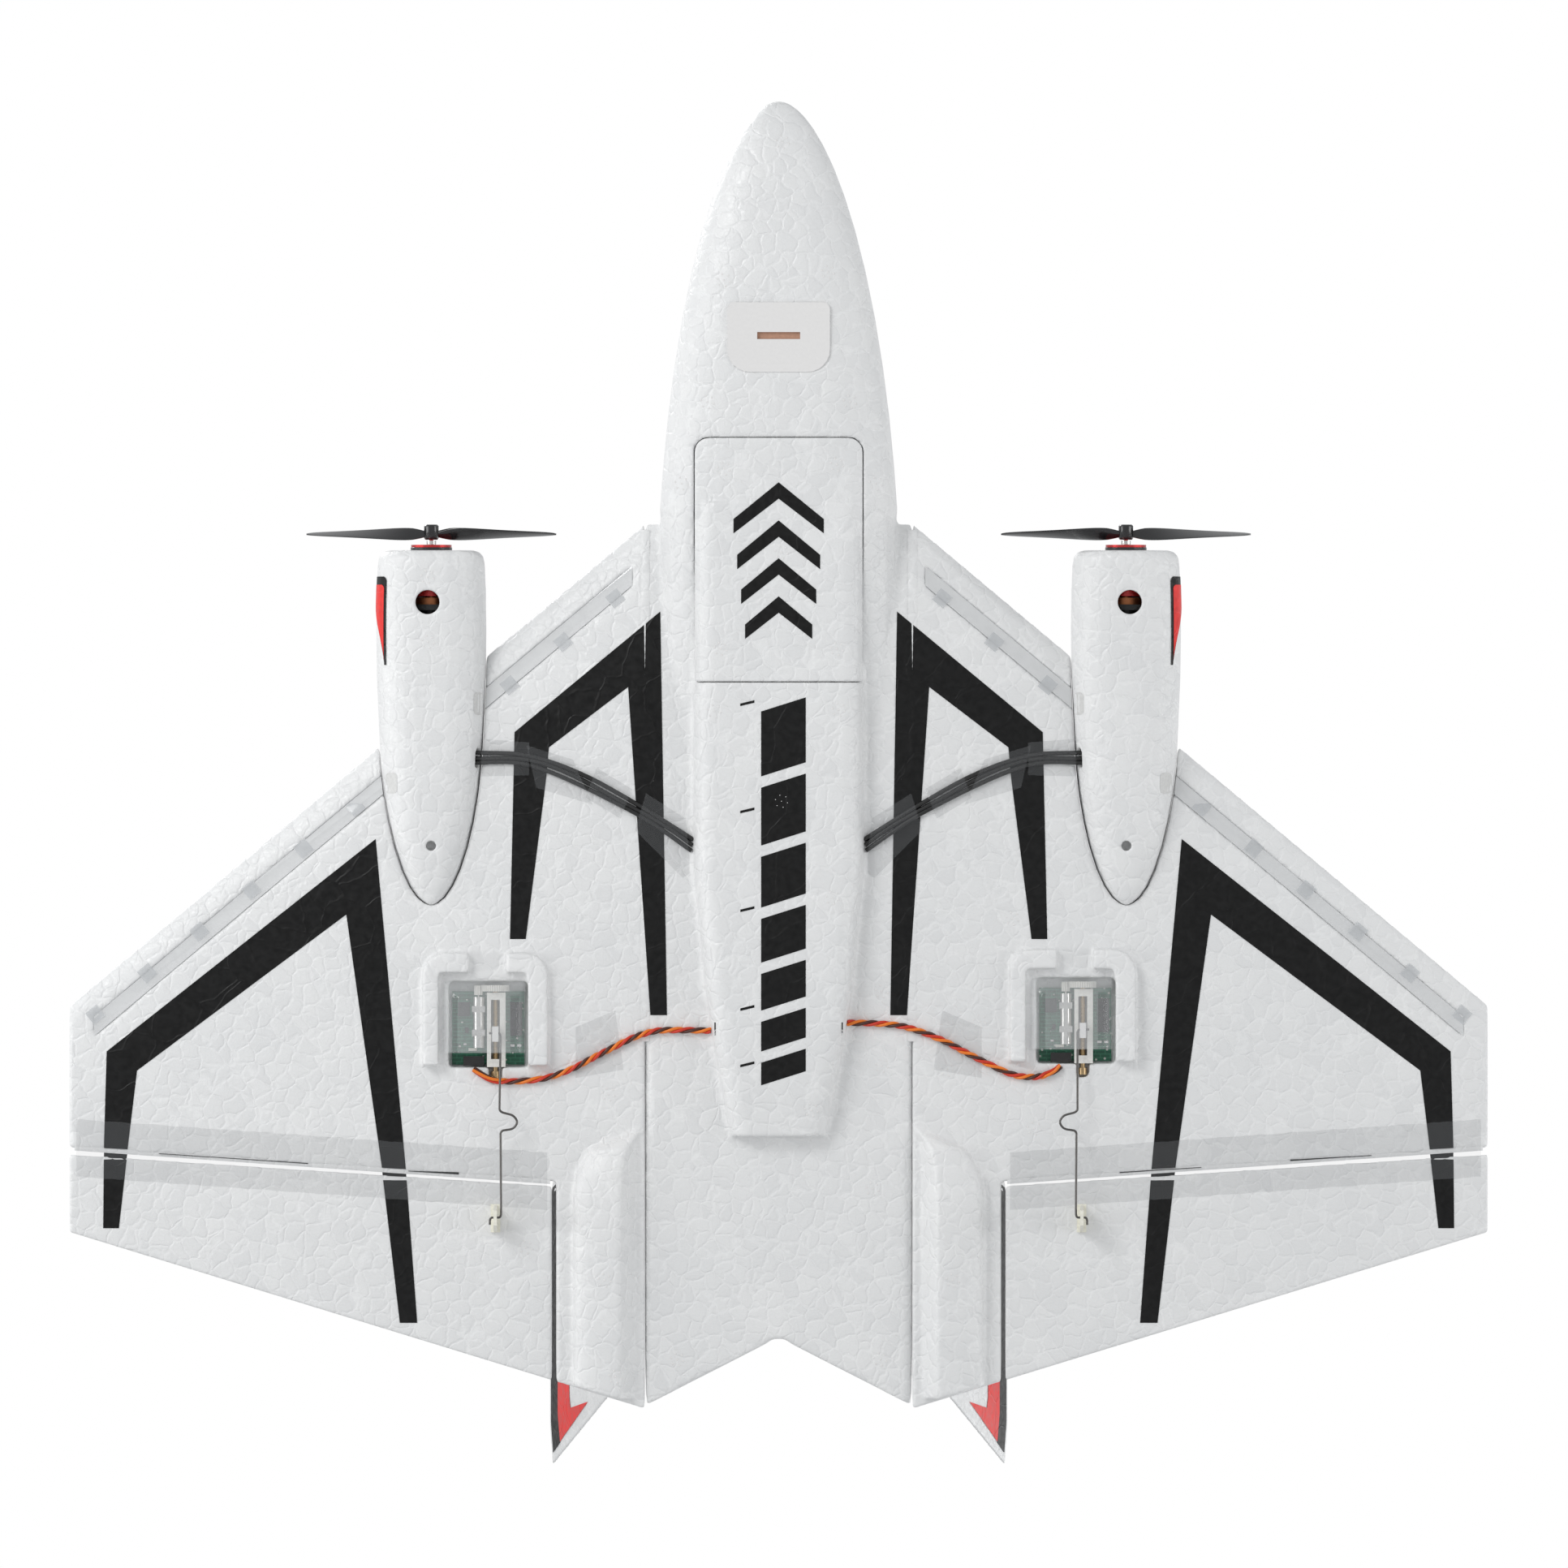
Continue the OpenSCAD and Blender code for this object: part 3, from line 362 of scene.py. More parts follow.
def loft(name, rings, key, body, sharp=40, caps=True):
    n, m = len(rings[0]), len(rings)
    verts = [p for r in rings for p in r]
    faces = [(i * n + j, i * n + (j + 1) % n, (i + 1) * n + (j + 1) % n, (i + 1) * n + j)
             for i in range(m - 1) for j in range(n)]
    if caps:
        faces += [tuple(range(n)), tuple(range((m - 1) * n, m * n))]
    return add_mesh(name, verts, faces, key, body, sharp)


def join(name, objs):
    bpy.ops.object.select_all(action="DESELECT")
    for o in objs:
        o.select_set(True)
    bpy.context.view_layer.objects.active = objs[0]
    bpy.ops.object.join()
    objs[0].name = name
    return objs[0]


def tree_of(names):
    """Search tree of the softened shapes of some CAD nodes, in the row's frame."""
    deps = bpy.context.evaluated_depsgraph_get()
    verts, faces = [], []
    for n in names:
        mesh = nodes[n].evaluated_get(deps).to_mesh()
        start = len(verts)
        verts += [v.co.copy() for v in mesh.vertices]
        faces += [tuple(start + i for i in p.vertices) for p in mesh.polygons]
        nodes[n].evaluated_get(deps).to_mesh_clear()
    return BVHTree.FromPolygons(verts, faces)


FOAM_ROOT = [n for n in nodes if bare(n) in ("centre_body", "canopy", "wing", "nacelle_lower", "nacelle_upper", "fin")]
root_skin = tree_of(FOAM_ROOT)
hatch_skin = tree_of(["battery_hatch"])
elevon_skin = {s: tree_of([f"{s}_elevon"]) for s, _ in SIDES}


BELOW_ALL, ABOVE_ALL = -40, 160  # heights in mm from which rays start


def ray_hit(tree, x, y, z, way):
    """The height in mm at which a ray from (x, y, z) meets the tree, or None."""
    hit = tree.ray_cast(Vector((x * MM, y * MM, z * MM)), Vector(way))[0]
    return (hit / MM).z if hit else None


def grid_cut(outline, step):
    """Vertices and faces of a plan polygon, cut to a square grid of about step mm."""
    bm = bmesh.new()
    bm.faces.new([bm.verts.new((x, y, 0)) for x, y in outline])
    for axis in (0, 1):
        lo, hi = min(p[axis] for p in outline), max(p[axis] for p in outline)
        count = int((hi - lo) / step)
        for i in range(1, count):
            at = [0, 0, 0]
            at[axis] = lo + (hi - lo) * i / count
            no = [0, 0, 0]
            no[axis] = 1
            geom = bm.verts[:] + bm.edges[:] + bm.faces[:]
            bmesh.ops.bisect_plane(bm, geom=geom, plane_co=at, plane_no=no)
    bmesh.ops.triangulate(bm, faces=[f for f in bm.faces if len(f.verts) > 4])
    bm.verts.index_update()
    verts = [tuple(v.co) for v in bm.verts]
    faces = [tuple(v.index for v in f.verts) for f in bm.faces]
    bm.free()
    return verts, faces


def decal(name, outlines, key, body, tree, way=(0, 0, 1), lift=0.12, step=3.0, bridge=True):
    """A film laid on a skin: plan outlines are thrown along way onto the tree, bridging the wing's joints."""
    all_verts, all_faces = [], []
    start_z = BELOW_ALL if way[2] > 0 else ABOVE_ALL
    for outline in outlines:
        verts, faces = grid_cut(outline, step)
        base = len(all_verts)
        flat = []
        for x, y, _ in verts:
            z = ray_hit(tree, x, y, start_z, way)
            if bridge and z is not None:
                z = min(z, WING_Z - skin(x, y)) if way[2] > 0 else max(z, WING_Z + skin(x, y))
            flat.append(z)
        known = [z for z in flat if z is not None]
        mean = sum(known) / len(known)
        for (x, y, _), z in zip(verts, flat, strict=True):
            z = mean if z is None else z
            all_verts.append((x, y, z - lift * way[2]))
        all_faces += [tuple(base + i for i in f) for f in faces]
    return add_mesh(name, all_verts, all_faces, key, body, 80)


def grid_faces(rows, cols):
    """Four-sided faces of a sheet whose vertices run along each row in turn."""
    n = cols + 1
    return [(i * n + j, i * n + j + 1, (i + 1) * n + j + 1, (i + 1) * n + j) for i in range(rows) for j in range(cols)]


def mirrored(outline, s):
    return [(s * x, y) for x, y in outline]


def tube_rings(points, radius, sides=12):
    pts = [Vector(p) for p in points]
    rings = []
    for i, p in enumerate(pts):
        t = (pts[min(i + 1, len(pts) - 1)] - pts[max(i - 1, 0)]).normalized()
        n = t.cross(Vector((0, 0, 1))).normalized()
        b = n.cross(t)
        rings.append([tuple(p + radius * (math.cos(a) * n + math.sin(a) * b))
                      for a in (2 * math.pi * k / sides for k in range(sides))])
    return rings


def spline(points, steps):
    """Smooth points through a route, with the same curve as the design."""
    p = [Vector(q) for q in points]
    m = len(p) - 1
    out = []
    for k in range(m * steps + 1):
        i = min(k // steps, m - 1)
        f = k / steps - i
        a, b, c, d = p[max(i - 1, 0)], p[i], p[i + 1], p[min(i + 2, m)]
        out.append(0.5 * (2 * b + (c - a) * f + (2 * a - 5 * b + 4 * c - d) * f**2
                          + (3 * b - a - 3 * c + d) * f**3))
    return out


# ---------------------------------------------------------------- black bands, chevrons and belly bars
INNER_BAND = [[(42, -61.5), (93.7, -18.7), (95.3, 54.7), (89.7, 54.7), (82.5, -2), (81.5, -13.3), (53.4, -34.7),
               (45.5, 81.7), (39.6, 81.7)]]
OUTER_BAND = [[(143, 19.2), (238.5, 94.6), (239.5, 128.9), (231.1, 129.4), (227.7, 101.4), (153.4, 46),
               (140.8, 135.9), (132.3, 136.4)]]
ELEVON_BAND = [[(140.7, 137.4), (134.5, 191), (128.3, 191), (132.2, 137.9)],
               [(239.5, 130.4), (239.8, 157.4), (234.2, 157.4), (231.2, 130.9)]]
CHEVRONS = [(-107.2, 16.0, 13.0), (-93.7, 14.7, 12.2), (-80.3, 13.3, 11.1), (-66.8, 11.9, 10.0)]
CHEVRON_TIP, CHEVRON_END = 5.8, 5.1

for side, s in SIDES:
    decal(f"{side}_inner_band", [mirrored(o, s) for o in INNER_BAND], "black_film", "root", root_skin)
    decal(f"{side}_outer_band", [mirrored(o, s) for o in OUTER_BAND], "black_film", "root", root_skin)
    decal(f"{side}_elevon_band", [mirrored(o, s) for o in ELEVON_BAND], "black_film", f"{side}_elevon_body",
          elevon_skin[side])
chevrons = []
for apex, wide, drop in CHEVRONS:
    chevrons += [[(0, apex), (s * wide, apex + drop), (s * wide, apex + drop + CHEVRON_END), (0, apex + CHEVRON_TIP)]
                 for s in (1, -1)]
decal("hatch_chevrons", chevrons, "black_film", "hatch", hatch_skin, step=2.0, bridge=False)
BAR_LEFT, BAR_RIGHT, BAR_SLANT = -6.2, 9.6, 5.0
BARS = [(-31, 23), (-4, 20.5), (20.5, 18), (42.5, 15.5), (62, 13), (79, 10.5), (93.5, 8)]
TICK_LEFT, TICK_RIGHT = -13.6, -8.6
TICKS = [-30, 8, 43, 78, 98]
bars = [[(BAR_LEFT, y + BAR_SLANT), (BAR_RIGHT, y), (BAR_RIGHT, y + long), (BAR_LEFT, y + long + BAR_SLANT)]
        for y, long in BARS]
ticks = [[(TICK_LEFT, y + 1.2), (TICK_RIGHT, y), (TICK_RIGHT, y + 0.9), (TICK_LEFT, y + 2.1)] for y in TICKS]
decal("belly_bars", bars, "black_film", "root", root_skin, step=2.5)
decal("belly_ticks", ticks, "black_film", "root", root_skin, step=2.5)

# The wing roots are glued flush ahead of their groove, and the films run across
JOINT_X, JOINT_FRONT_GAP, JOINT_BACK, JOINT_ROWS = 47.45, 2.5, 91.0, 60
JOINT_PROFILE = [(-1.7, -0.06), (-0.9, 0.05), (0, 0.07), (0.9, 0.05), (1.7, -0.06)]
for side, s in SIDES:
    for way, up in ((1, "lower"), (-1, "upper")):
        verts = []
        for i in range(JOINT_ROWS + 1):
            y = LE_ROOT + JOINT_FRONT_GAP + (JOINT_BACK - LE_ROOT - JOINT_FRONT_GAP) * i / JOINT_ROWS
            verts += [(s * (JOINT_X + dx), y, WING_Z - way * (skin(JOINT_X + dx, y) + lift))
                      for dx, lift in JOINT_PROFILE]
        faces = grid_faces(JOINT_ROWS, len(JOINT_PROFILE) - 1)
        add_mesh(f"{side}_{up}_joint", verts, faces, "foam", "root", 60)

# ---------------------------------------------------------------- edge strip windows, painted shade in the nacelle notches, hinge gaps and lead slits
RUN = math.atan2(LE_TIP - LE_ROOT, SPAN_HALF - ROOT_X)
WINDOW_SIZE = 5.2
WINDOWS = [(58.0, -66.2), (76.5, -50.7), (95.5, -35.4)] + [(150.2 + 18.48 * k, 7.8 + 14.74 * k) for k in range(6)]


def turned_box(cx, cy, w, h, angle):
    c, q = math.cos(angle), math.sin(angle)
    return [(cx + u * w / 2 * c - v * h / 2 * q, cy + u * w / 2 * q + v * h / 2 * c)
            for u, v in ((-1, -1), (1, -1), (1, 1), (-1, 1))]


def round_box(cx, cy, w, h, r):
    points = []
    for k, (u, v) in enumerate(((1, 1), (-1, 1), (-1, -1), (1, -1))):
        for a in (math.radians(90 * k + 18 * j) for j in range(6)):
            points.append((cx + u * (w / 2 - r) + r * math.cos(a), cy + v * (h / 2 - r) + r * math.sin(a)))
    return points


edge_skin = tree_of(FOAM_ROOT + ["left_edge_strip", "right_edge_strip"])
# Grey patches that paint the shade in the nacelle notches: x, y, width and length
NOTCHES = [(106.4, -28.8, 3.4, 8.0), (137.4, -0.6, 4.2, 7.4)]
# Dark strips that paint the shade in the hinge gap: from x, to x and width
HINGE_GAP_SHADE = {"left": [(113.5, 131.5, 0.8), (167, 220, 0.3)], "right": [(121, 150, 0.35), (181.6, 210.4, 0.5)]}
for side, s in SIDES:
    decal(f"{side}_windows", [mirrored(turned_box(x, y, WINDOW_SIZE, WINDOW_SIZE, RUN), s) for x, y in WINDOWS],
          "window", "root", edge_skin, lift=0.3, bridge=False)
    decal(f"{side}_notches", [mirrored(round_box(x, y, w, h, 1.4), s) for x, y, w, h in NOTCHES], "notch", "root",
          root_skin, lift=0.1, step=1.0, bridge=False)
    # Black strips paint the shade in the gap between wing and elevon
    for i, (x0, x1, wide) in enumerate(HINGE_GAP_SHADE[side]):
        line = [(x0, hinge_y(x0) - 0.1 - wide), (x1, hinge_y(x1) - 0.2), (x1, hinge_y(x1)), (x0, hinge_y(x0) - 0.1)]
        decal(f"{side}_hinge_gap_shade_{i}", [mirrored(line, s)], "black_film", "root", root_skin, lift=0.06)
# Black strip paints the shade in the slit where each servo lead goes into the body
slit = [(22.3, 84.2), (22.8, 84.2), (22.8, 88.8), (22.3, 88.8)]
decal("lead_slit_shade", [mirrored(slit, s) for _, s in SIDES], "black_film", "root", root_skin, lift=0.05, step=1.0,
      bridge=False)
add_mesh("slot_floor", [(-8.8, -162.8, 1.35), (8.8, -162.8, 1.35), (8.8, -155.2, 1.35), (-8.8, -155.2, 1.35)],
         [(0, 1, 2, 3)], "pocket_brown", "root")

# Top side, a guess: the same bands in a plain scheme
TOP_FLASH = [(52, -62), (86, -33), (88, 60), (78, 60), (74, -24), (60, -34)]
ELEVON_TOP_BAND = [(140.2, 148), (134.5, 191), (128.3, 191), (131.7, 148)]
PANE_Y, PANE_WIDE, PANE_LONG, PANE_SIDES = -118, 18, 46, 28
DOWN = (0, 0, -1)
for side, s in SIDES:
    decal(f"{side}_top_band", [mirrored(o, s) for o in OUTER_BAND], "black_film", "root", root_skin, DOWN)
    decal(f"{side}_top_flash", [mirrored(TOP_FLASH, s)], "red_film", "root", root_skin, DOWN)
    decal(f"{side}_elevon_top_band", [mirrored(ELEVON_TOP_BAND, s)], "black_film", f"{side}_elevon_body",
          elevon_skin[side], DOWN)
canopy_pane = [(PANE_WIDE * math.sin(a), PANE_Y + PANE_LONG * math.cos(a))
               for a in (2 * math.pi * i / PANE_SIDES for i in range(PANE_SIDES))]
decal("canopy_pane", [canopy_pane], "smoke_film", "root", root_skin, DOWN, step=3)

# ---------------------------------------------------------------- fins: black tip strip and red flash on the outer face
FIN_ROOT_X, FIN_TIP_X, FIN_HALF = 60.0, 80.6, 2.6
FIN_FOOT, FIN_Z = 24.0, 94.0
FIN_FRONT, FIN_SWEEP, FIN_FOOT_END, FIN_END = 100, 40, 216.5, 242.8
FIN_LIFT = 0.16


def fin_point(s, x, y):
    """The point of the fin's outer face seen at (x, y) in plan."""
    t = (x - FIN_ROOT_X - FIN_HALF) / (FIN_TIP_X - FIN_ROOT_X - 0.45 * FIN_HALF)
    y0, y1 = FIN_FRONT + t * FIN_SWEEP, FIN_FOOT_END + t * (FIN_END - FIN_FOOT_END)
    h = FIN_HALF * (1 - 0.45 * t)
    y = min(max(y, y0 + 0.4), y1 - 0.4)
    out = min(h * min((y - y0) / 9, 1), 0.5 + (h - 0.5) * min((y1 - y) / 14, 1))
    return (s * (FIN_ROOT_X + t * (FIN_TIP_X - FIN_ROOT_X) + out + FIN_LIFT), y,
            FIN_FOOT + t * (FIN_Z - FIN_FOOT) - 0.25 * FIN_LIFT)


def fin_film(name, s, outline, key):
    verts, faces = grid_cut(outline, 1.6)
    return add_mesh(name, [fin_point(s, x, y) for x, y, _ in verts], faces, key, "root", 80)


FIN_STRIP = [(78.8, 142), (81.3, 144), (81.3, 238.8), (78.8, 234.9)]
FIN_FLASH = [(78.8, 196), (78.8, 234.6), (68.9, 219.6), (74.5, 222.2), (74.8, 196)]
FIN_WEDGE = [(66, 130), (77.5, 146), (77.5, 176), (66, 150)]
for side, s in SIDES:
    fin_film(f"{side}_fin_strip", s, FIN_STRIP, "black_film")
    fin_film(f"{side}_fin_flash", s, FIN_FLASH, "red_film")
    fin_film(f"{side}_fin_wedge", s, FIN_WEDGE, "black_film")

# ---------------------------------------------------------------- nacelle flash: black-edged red, along the outer side
NAC_BACK, NAC_HIGH = 42.6, 16.5
SWOOSH_RISE, SWOOSH_END = 24.0, -37.5


def nacelle_point(s, y, a, lift):
    """A point on the nacelle's skin at the angle a, in degrees above its outer side."""
    if y < -55:
        w = 19.6 - 0.85 * ((y + 55) / 28) ** 2
    elif y < -20:
        w = 19.6 - ((y + 55) / 35) ** 2
    else:
        w = 18.6 * math.sqrt(max(1 - ((y + 20) / (NAC_BACK + 20)) ** 1.7, 0))
    h = NAC_HIGH if y < -20 else 8.6 + 7.9 * math.sqrt(max(1 - ((y + 20) / (NAC_BACK + 20)) ** 2, 0))
    r = math.radians(a)
    cx = (abs(math.cos(r)) ** 0.72) * math.copysign(1, math.cos(r))
    sz = (abs(math.sin(r)) ** 0.72) * math.copysign(1, math.sin(r))
    return (s * (MOTOR_X + (w + lift) * cx), y, WING_Z + (h + lift) * sz)


def nacelle_film(name, s, front, back, low, key, lift):
    """A swoosh with an even lower edge; its upper edge falls to a point at the back."""
    rows, cols = 30, 12
    verts = []
    for i in range(rows + 1):
        f = i / rows
        high = SWOOSH_END + (SWOOSH_RISE - SWOOSH_END) * (1 - f) ** 1.5
        high = max(high, low + 0.3)
        soft = 6 * max(1 - f * 14, 0) ** 2
        verts += [nacelle_point(s, front + f * (back - front) + soft * 0.1, low + soft + (high - low - soft) * j / cols,
                                lift) for j in range(cols + 1)]
    return add_mesh(name, verts, grid_faces(rows, cols), key, "root")


for side, s in SIDES:
    nacelle_film(f"{side}_nacelle_edge", s, -74.5, -42.5, -41.5, "black_film", 0.14)
    nacelle_film(f"{side}_nacelle_flash", s, -71.6, -44.5, -37.0, "red_film", 0.24)

# ---------------------------------------------------------------- vent marks: six dots round a seventh
VENT_PITCH, VENT_DOT, VENT_HIGH, VENT_SUNK, VENT_SIDES = 2.2, 0.42, 0.14, 0.05, 10
VENTS = [
    (1.3, -227.8), (17.4, -181.7), (-19.4, -178.8), (25.2, -135.7), (-25.2, -135.7), (-19.4, -112), (20.6, -113.5),
    (1, -82.4), (-20.6, -48.2), (20.6, -48.2), (-34.3, -106.8), (34.3, -106.8), (21.2, -26.6), (-22.8, -26.1),
    (-45, -3.5), (45, -3.5), (1, 5.8), (19, 40.1), (-44.8, 34), (44.8, 34), (82.9, 47.5), (71.3, 83.9), (36.6, 99.7),
    (59.7, 101), (36.6, 73.2), (-60.4, 109.8), (90.6, 121.9), (11.6, 115.3), (33.3, 143.4), (-36, 204), (36, 204),
    (-61.7, 175.7), (61.7, 175.7), (-57.9, 210), (-124.5, -73.7), (-124.3, -50.7),
]
ELEVON_VENTS = [(-89.7, 164.2)]


def vent_marks(name, places, tree, body):
    verts, faces, n = [], [], VENT_SIDES
    for cx, cy in places:
        dots = [(cx, cy)] + [(cx + VENT_PITCH * math.cos(a), cy + VENT_PITCH * math.sin(a))
                             for a in (math.radians(60 * k + 15) for k in range(6))]
        for x, y in dots:
            z = ray_hit(tree, x, y, BELOW_ALL, (0, 0, 1))
            if z is None:
                continue
            base = len(verts)
            for r, d in ((VENT_DOT, -VENT_SUNK), (VENT_DOT * 0.75, VENT_HIGH * 0.7)):
                verts += [(x + r * math.cos(a), y + r * math.sin(a), z - d)
                          for a in (math.pi * k / 5 for k in range(n))]
            verts.append((x, y, z - VENT_HIGH))
            faces += [(base + k, base + (k + 1) % n, base + n + (k + 1) % n, base + n + k) for k in range(n)]
            faces += [(base + n + k, base + n + (k + 1) % n, base + 2 * n) for k in range(n)]
    return add_mesh(name, verts, faces, "white_plastic", body)


# Marks inside the hatch's outline ride with it
CHEST = [v for v in VENTS if abs(v[0]) < 30 and -123 < v[1] < -37]
vent_marks("body_vents", [v for v in VENTS if v not in CHEST], root_skin, "root")
vent_marks("hatch_vents", CHEST, hatch_skin, "hatch")
vent_marks("left_elevon_vents", ELEVON_VENTS, elevon_skin["left"], "left_elevon_body")

# ---------------------------------------------------------------- leads, on the same routes as their solids
CABLE_ROUTE = [(109.4, -9.6), (105, -9.5), (92, -9.3), (80.5, -6.3), (68.3, -1), (57, 5), (46.6, 10.8), (37.5, 16.6),
               (30.6, 21.4)]
CABLE_R, CABLE_PITCH = 0.78, 1.72
LEAD_ROUTES = {
    "left": [(-108.4, 100.9), (-101.8, 104.5), (-94, 105.2), (-83.2, 104.1), (-73.7, 100.9), (-66.2, 97), (-59, 93.3),
             (-50.6, 89.3), (-42.8, 87.2), (-33.6, 87), (-24.2, 87.2)],
    "right": [(100, 99.6), (97, 102), (91, 103.6), (83.2, 102.8), (73.7, 98.6), (66.2, 94.8), (59, 91), (50.6, 87.6),
              (42.8, 85.4), (33.6, 84.6), (24.4, 84.4)],
}
LEAD_R, LEAD_OUT, LEAD_TWIST, LEAD_STEPS = 0.55, 0.64, 300, 16


def under(x, y, drop):
    return (x, y, WING_Z - skin(x, y) - drop)


for side, s in SIDES:
    strands = []
    for k in (-1, 0, 1):
        route = [under(s * x, y, CABLE_R + 0.15) for x, y in CABLE_ROUTE]
        route = [(x + s * 0.35 * k, y + CABLE_PITCH * k, z) for x, y, z in route]
        points = spline(route, 12)
        for i, p in enumerate(points):
            p.y += 0.25 * math.sin(i * 0.13 + k * 2.1)
        strands.append(loft(f"{side}_cable_{k + 1}", tube_rings(points, CABLE_R, 14), "cable", None, 60))
    bundle = join(f"{side}_cables", strands)
    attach(bundle, "root")
    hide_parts(f"{side}_motor_cables")
    centre = spline([under(x, y, 2 * LEAD_R + 0.1) for x, y in LEAD_ROUTES[side]], LEAD_STEPS)
    wires = []
    for k, key in enumerate(("brown_lead", "red_lead", "orange_lead")):
        points = []
        for i, p in enumerate(centre):
            t = (centre[min(i + 1, len(centre) - 1)] - centre[max(i - 1, 0)]).normalized()
            n = t.cross(Vector((0, 0, 1))).normalized()
            a = math.radians(120 * k + LEAD_TWIST * max(i / LEAD_STEPS - 1.2, 0.15 * i / LEAD_STEPS))
            points.append(p + LEAD_OUT * (math.cos(a) * n + math.sin(a) * n.cross(t)))
        wires.append(loft(f"{side}_lead_{k}", tube_rings(points, LEAD_R, 12), key, None, 60))
    twisted = join(f"{side}_leads", wires)
    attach(twisted, "root")
    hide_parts(f"{side}_servo_lead")


# ---------------------------------------------------------------- clear tapes
CABLE_TAPES = [
    [(105.5, -16.4), (88.5, -15), (88.5, -3.4), (105.5, -3.0)],
    [(89.5, -14), (73, -9), (66, 7), (86, 1)],
    [(64.5, -6), (52, 1.5), (56, 12), (68.5, 4.5)],
    [(47, 3), (33, 12), (31, 31), (34, 33), (51, 16)],
]
LEAD_TAPE = [(72, 86), (58, 80), (55, 101), (72, 104)]
TAPE_STEP, TAPE_FLAT, TAPE_NEAR, TAPE_SLOPE = 1.6, 0.16, 2.6, 2.2
HINGE_TAPE_HALF, HINGE_ROWS, HINGE_COLS = 10.2, 90, 8
HINGE_WEB = [(-0.7, 0.25), (-0.1, 0.12), (0.4, 0.12), (1.0, 0.25)]


def cable_lift(x, y):
    """How far the tape stands off the foam where it crosses the motor cables."""
    near = 1e9
    for (x0, y0), (x1, y1) in zip(CABLE_ROUTE, CABLE_ROUTE[1:], strict=False):
        dx, dy = x1 - x0, y1 - y0
        f = min(max(((x - x0) * dx + (y - y0) * dy) / (dx * dx + dy * dy), 0), 1)
        near = min(near, math.hypot(x - x0 - f * dx, y - y0 - f * dy))
    reach = 2 * CABLE_R + 0.4
    if near < TAPE_NEAR:
        return reach
    return reach * max(1 - (near - TAPE_NEAR) / TAPE_SLOPE, 0) ** 1.5 + 0.13


def tape_piece(name, s, outline, raised=True):
    verts, faces = grid_cut(outline, TAPE_STEP)
    out = []
    for x, y, _ in verts:
        lift = cable_lift(x, y) if raised else TAPE_FLAT
        out.append((s * x, y, WING_Z - skin(x, y) - lift))
    return add_mesh(name, out, faces, "tape", "root", 60)


for side, s in SIDES:
    for k, outline in enumerate(CABLE_TAPES, 1):
        tape_piece(f"{side}_cable_tape_{k}", s, outline)
    tape_piece(f"{side}_lead_tape", s, LEAD_TAPE, raised=False)
    near, far = HINGE_IN_X + 1.6, SPAN_HALF - 2.4
    verts, web_verts = [], []
    for i in range(HINGE_ROWS + 1):
        x = near + (far - near) * i / HINGE_ROWS
        ragged = 0.35 * math.sin(i * 0.9) + 0.25 * math.sin(i * 2.3 + 1)
        for j in range(HINGE_COLS + 1):
            y = hinge_y(x) + (-HINGE_TAPE_HALF + 2 * HINGE_TAPE_HALF * j / HINGE_COLS) + ragged * 0.3
            verts.append((s * x, y, WING_Z - skin(x, y) - 0.2))
        x = near - 1.0 + (far - near + 1.6) * i / HINGE_ROWS
        for dy, rise in HINGE_WEB:
            y = hinge_y(x) + dy
            web_verts.append((s * x, y, WING_Z - skin(x, y) + rise))
    tape = add_mesh(f"{side}_hinge_tape", verts, grid_faces(HINGE_ROWS, HINGE_COLS), "tape", None, 60)
    web = add_mesh(f"{side}_hinge_web", web_verts, grid_faces(HINGE_ROWS, len(HINGE_WEB) - 1), "foam", None, 60)
    x = s * (HINGE_IN_X + SPAN_HALF) / 2
    y = hinge_y(abs(x))
    for sheet in (tape, web):
        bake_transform(sheet)


# ---------------------------------------------------------------- servo blisters
SCREW_X = {"left": -100.5, "right": 107.9}
GEAR_Y = {"left": 71.1, "right": 69.8}
SERVO_Z = WING_Z - skin(100, 86)
BLISTER_DROP, BLISTER_WALL = 5.3, 0.25
BLISTER_LOW, BLISTER_HIGH = (-18.6, -1.6), (10.6, 24.0)  # from the screw's axis and the gear


def blister(side):
    """A vacuum-formed clear cover: flat flange, soft steep sides, flat crown, open at the back."""
    ox, oy = SCREW_X[side], GEAR_Y[side]
    (x0, y0), (x1, y1) = BLISTER_LOW, BLISTER_HIGH
    cols, rows = 56, 44
    verts = []
    for i in range(rows + 1):
        for j in range(cols + 1):
            u = -1 + 2 * j / cols
            v = i / rows
            x = (x0 + x1) / 2 + u * (x1 - x0) / 2
            y = y0 + v * (y1 - y0)
            side_fall = 1 - abs(u) ** 5
            front_fall = min(1, v / 0.30)
            front_fall = math.sin(front_fall * math.pi / 2) ** 0.8
            corner = max(side_fall, 0) ** 0.6 * front_fall
            ridge = 0.12 * math.sin(9 * u) * (1 - abs(u))
            verts.append((ox + x, oy + y, SERVO_Z + 0.1 - BLISTER_DROP * corner - ridge * corner))
    obj = add_mesh(f"{side}_blister", verts, grid_faces(rows, cols), "clear", "root", 80)
    # A band on each steep side gets a second material: a painted highlight standing in for the lamps' reflections,
    # partly the whitened bend of the plastic
    obj.data.materials.append(M["painted_highlight"])
    for k, face in enumerate(obj.data.polygons):
        u, v = abs(-1 + 2 * (k % cols + 0.5) / cols), (k // cols + 0.5) / rows
        face.material_index = 1 if 0.66 < u < 0.86 and v > 0.2 else 0
    wall = obj.modifiers.new("wall", "SOLIDIFY")
    wall.thickness = BLISTER_WALL * MM
    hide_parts(f"{side}_servo_cover")


CHIP_BEVEL = 0.12


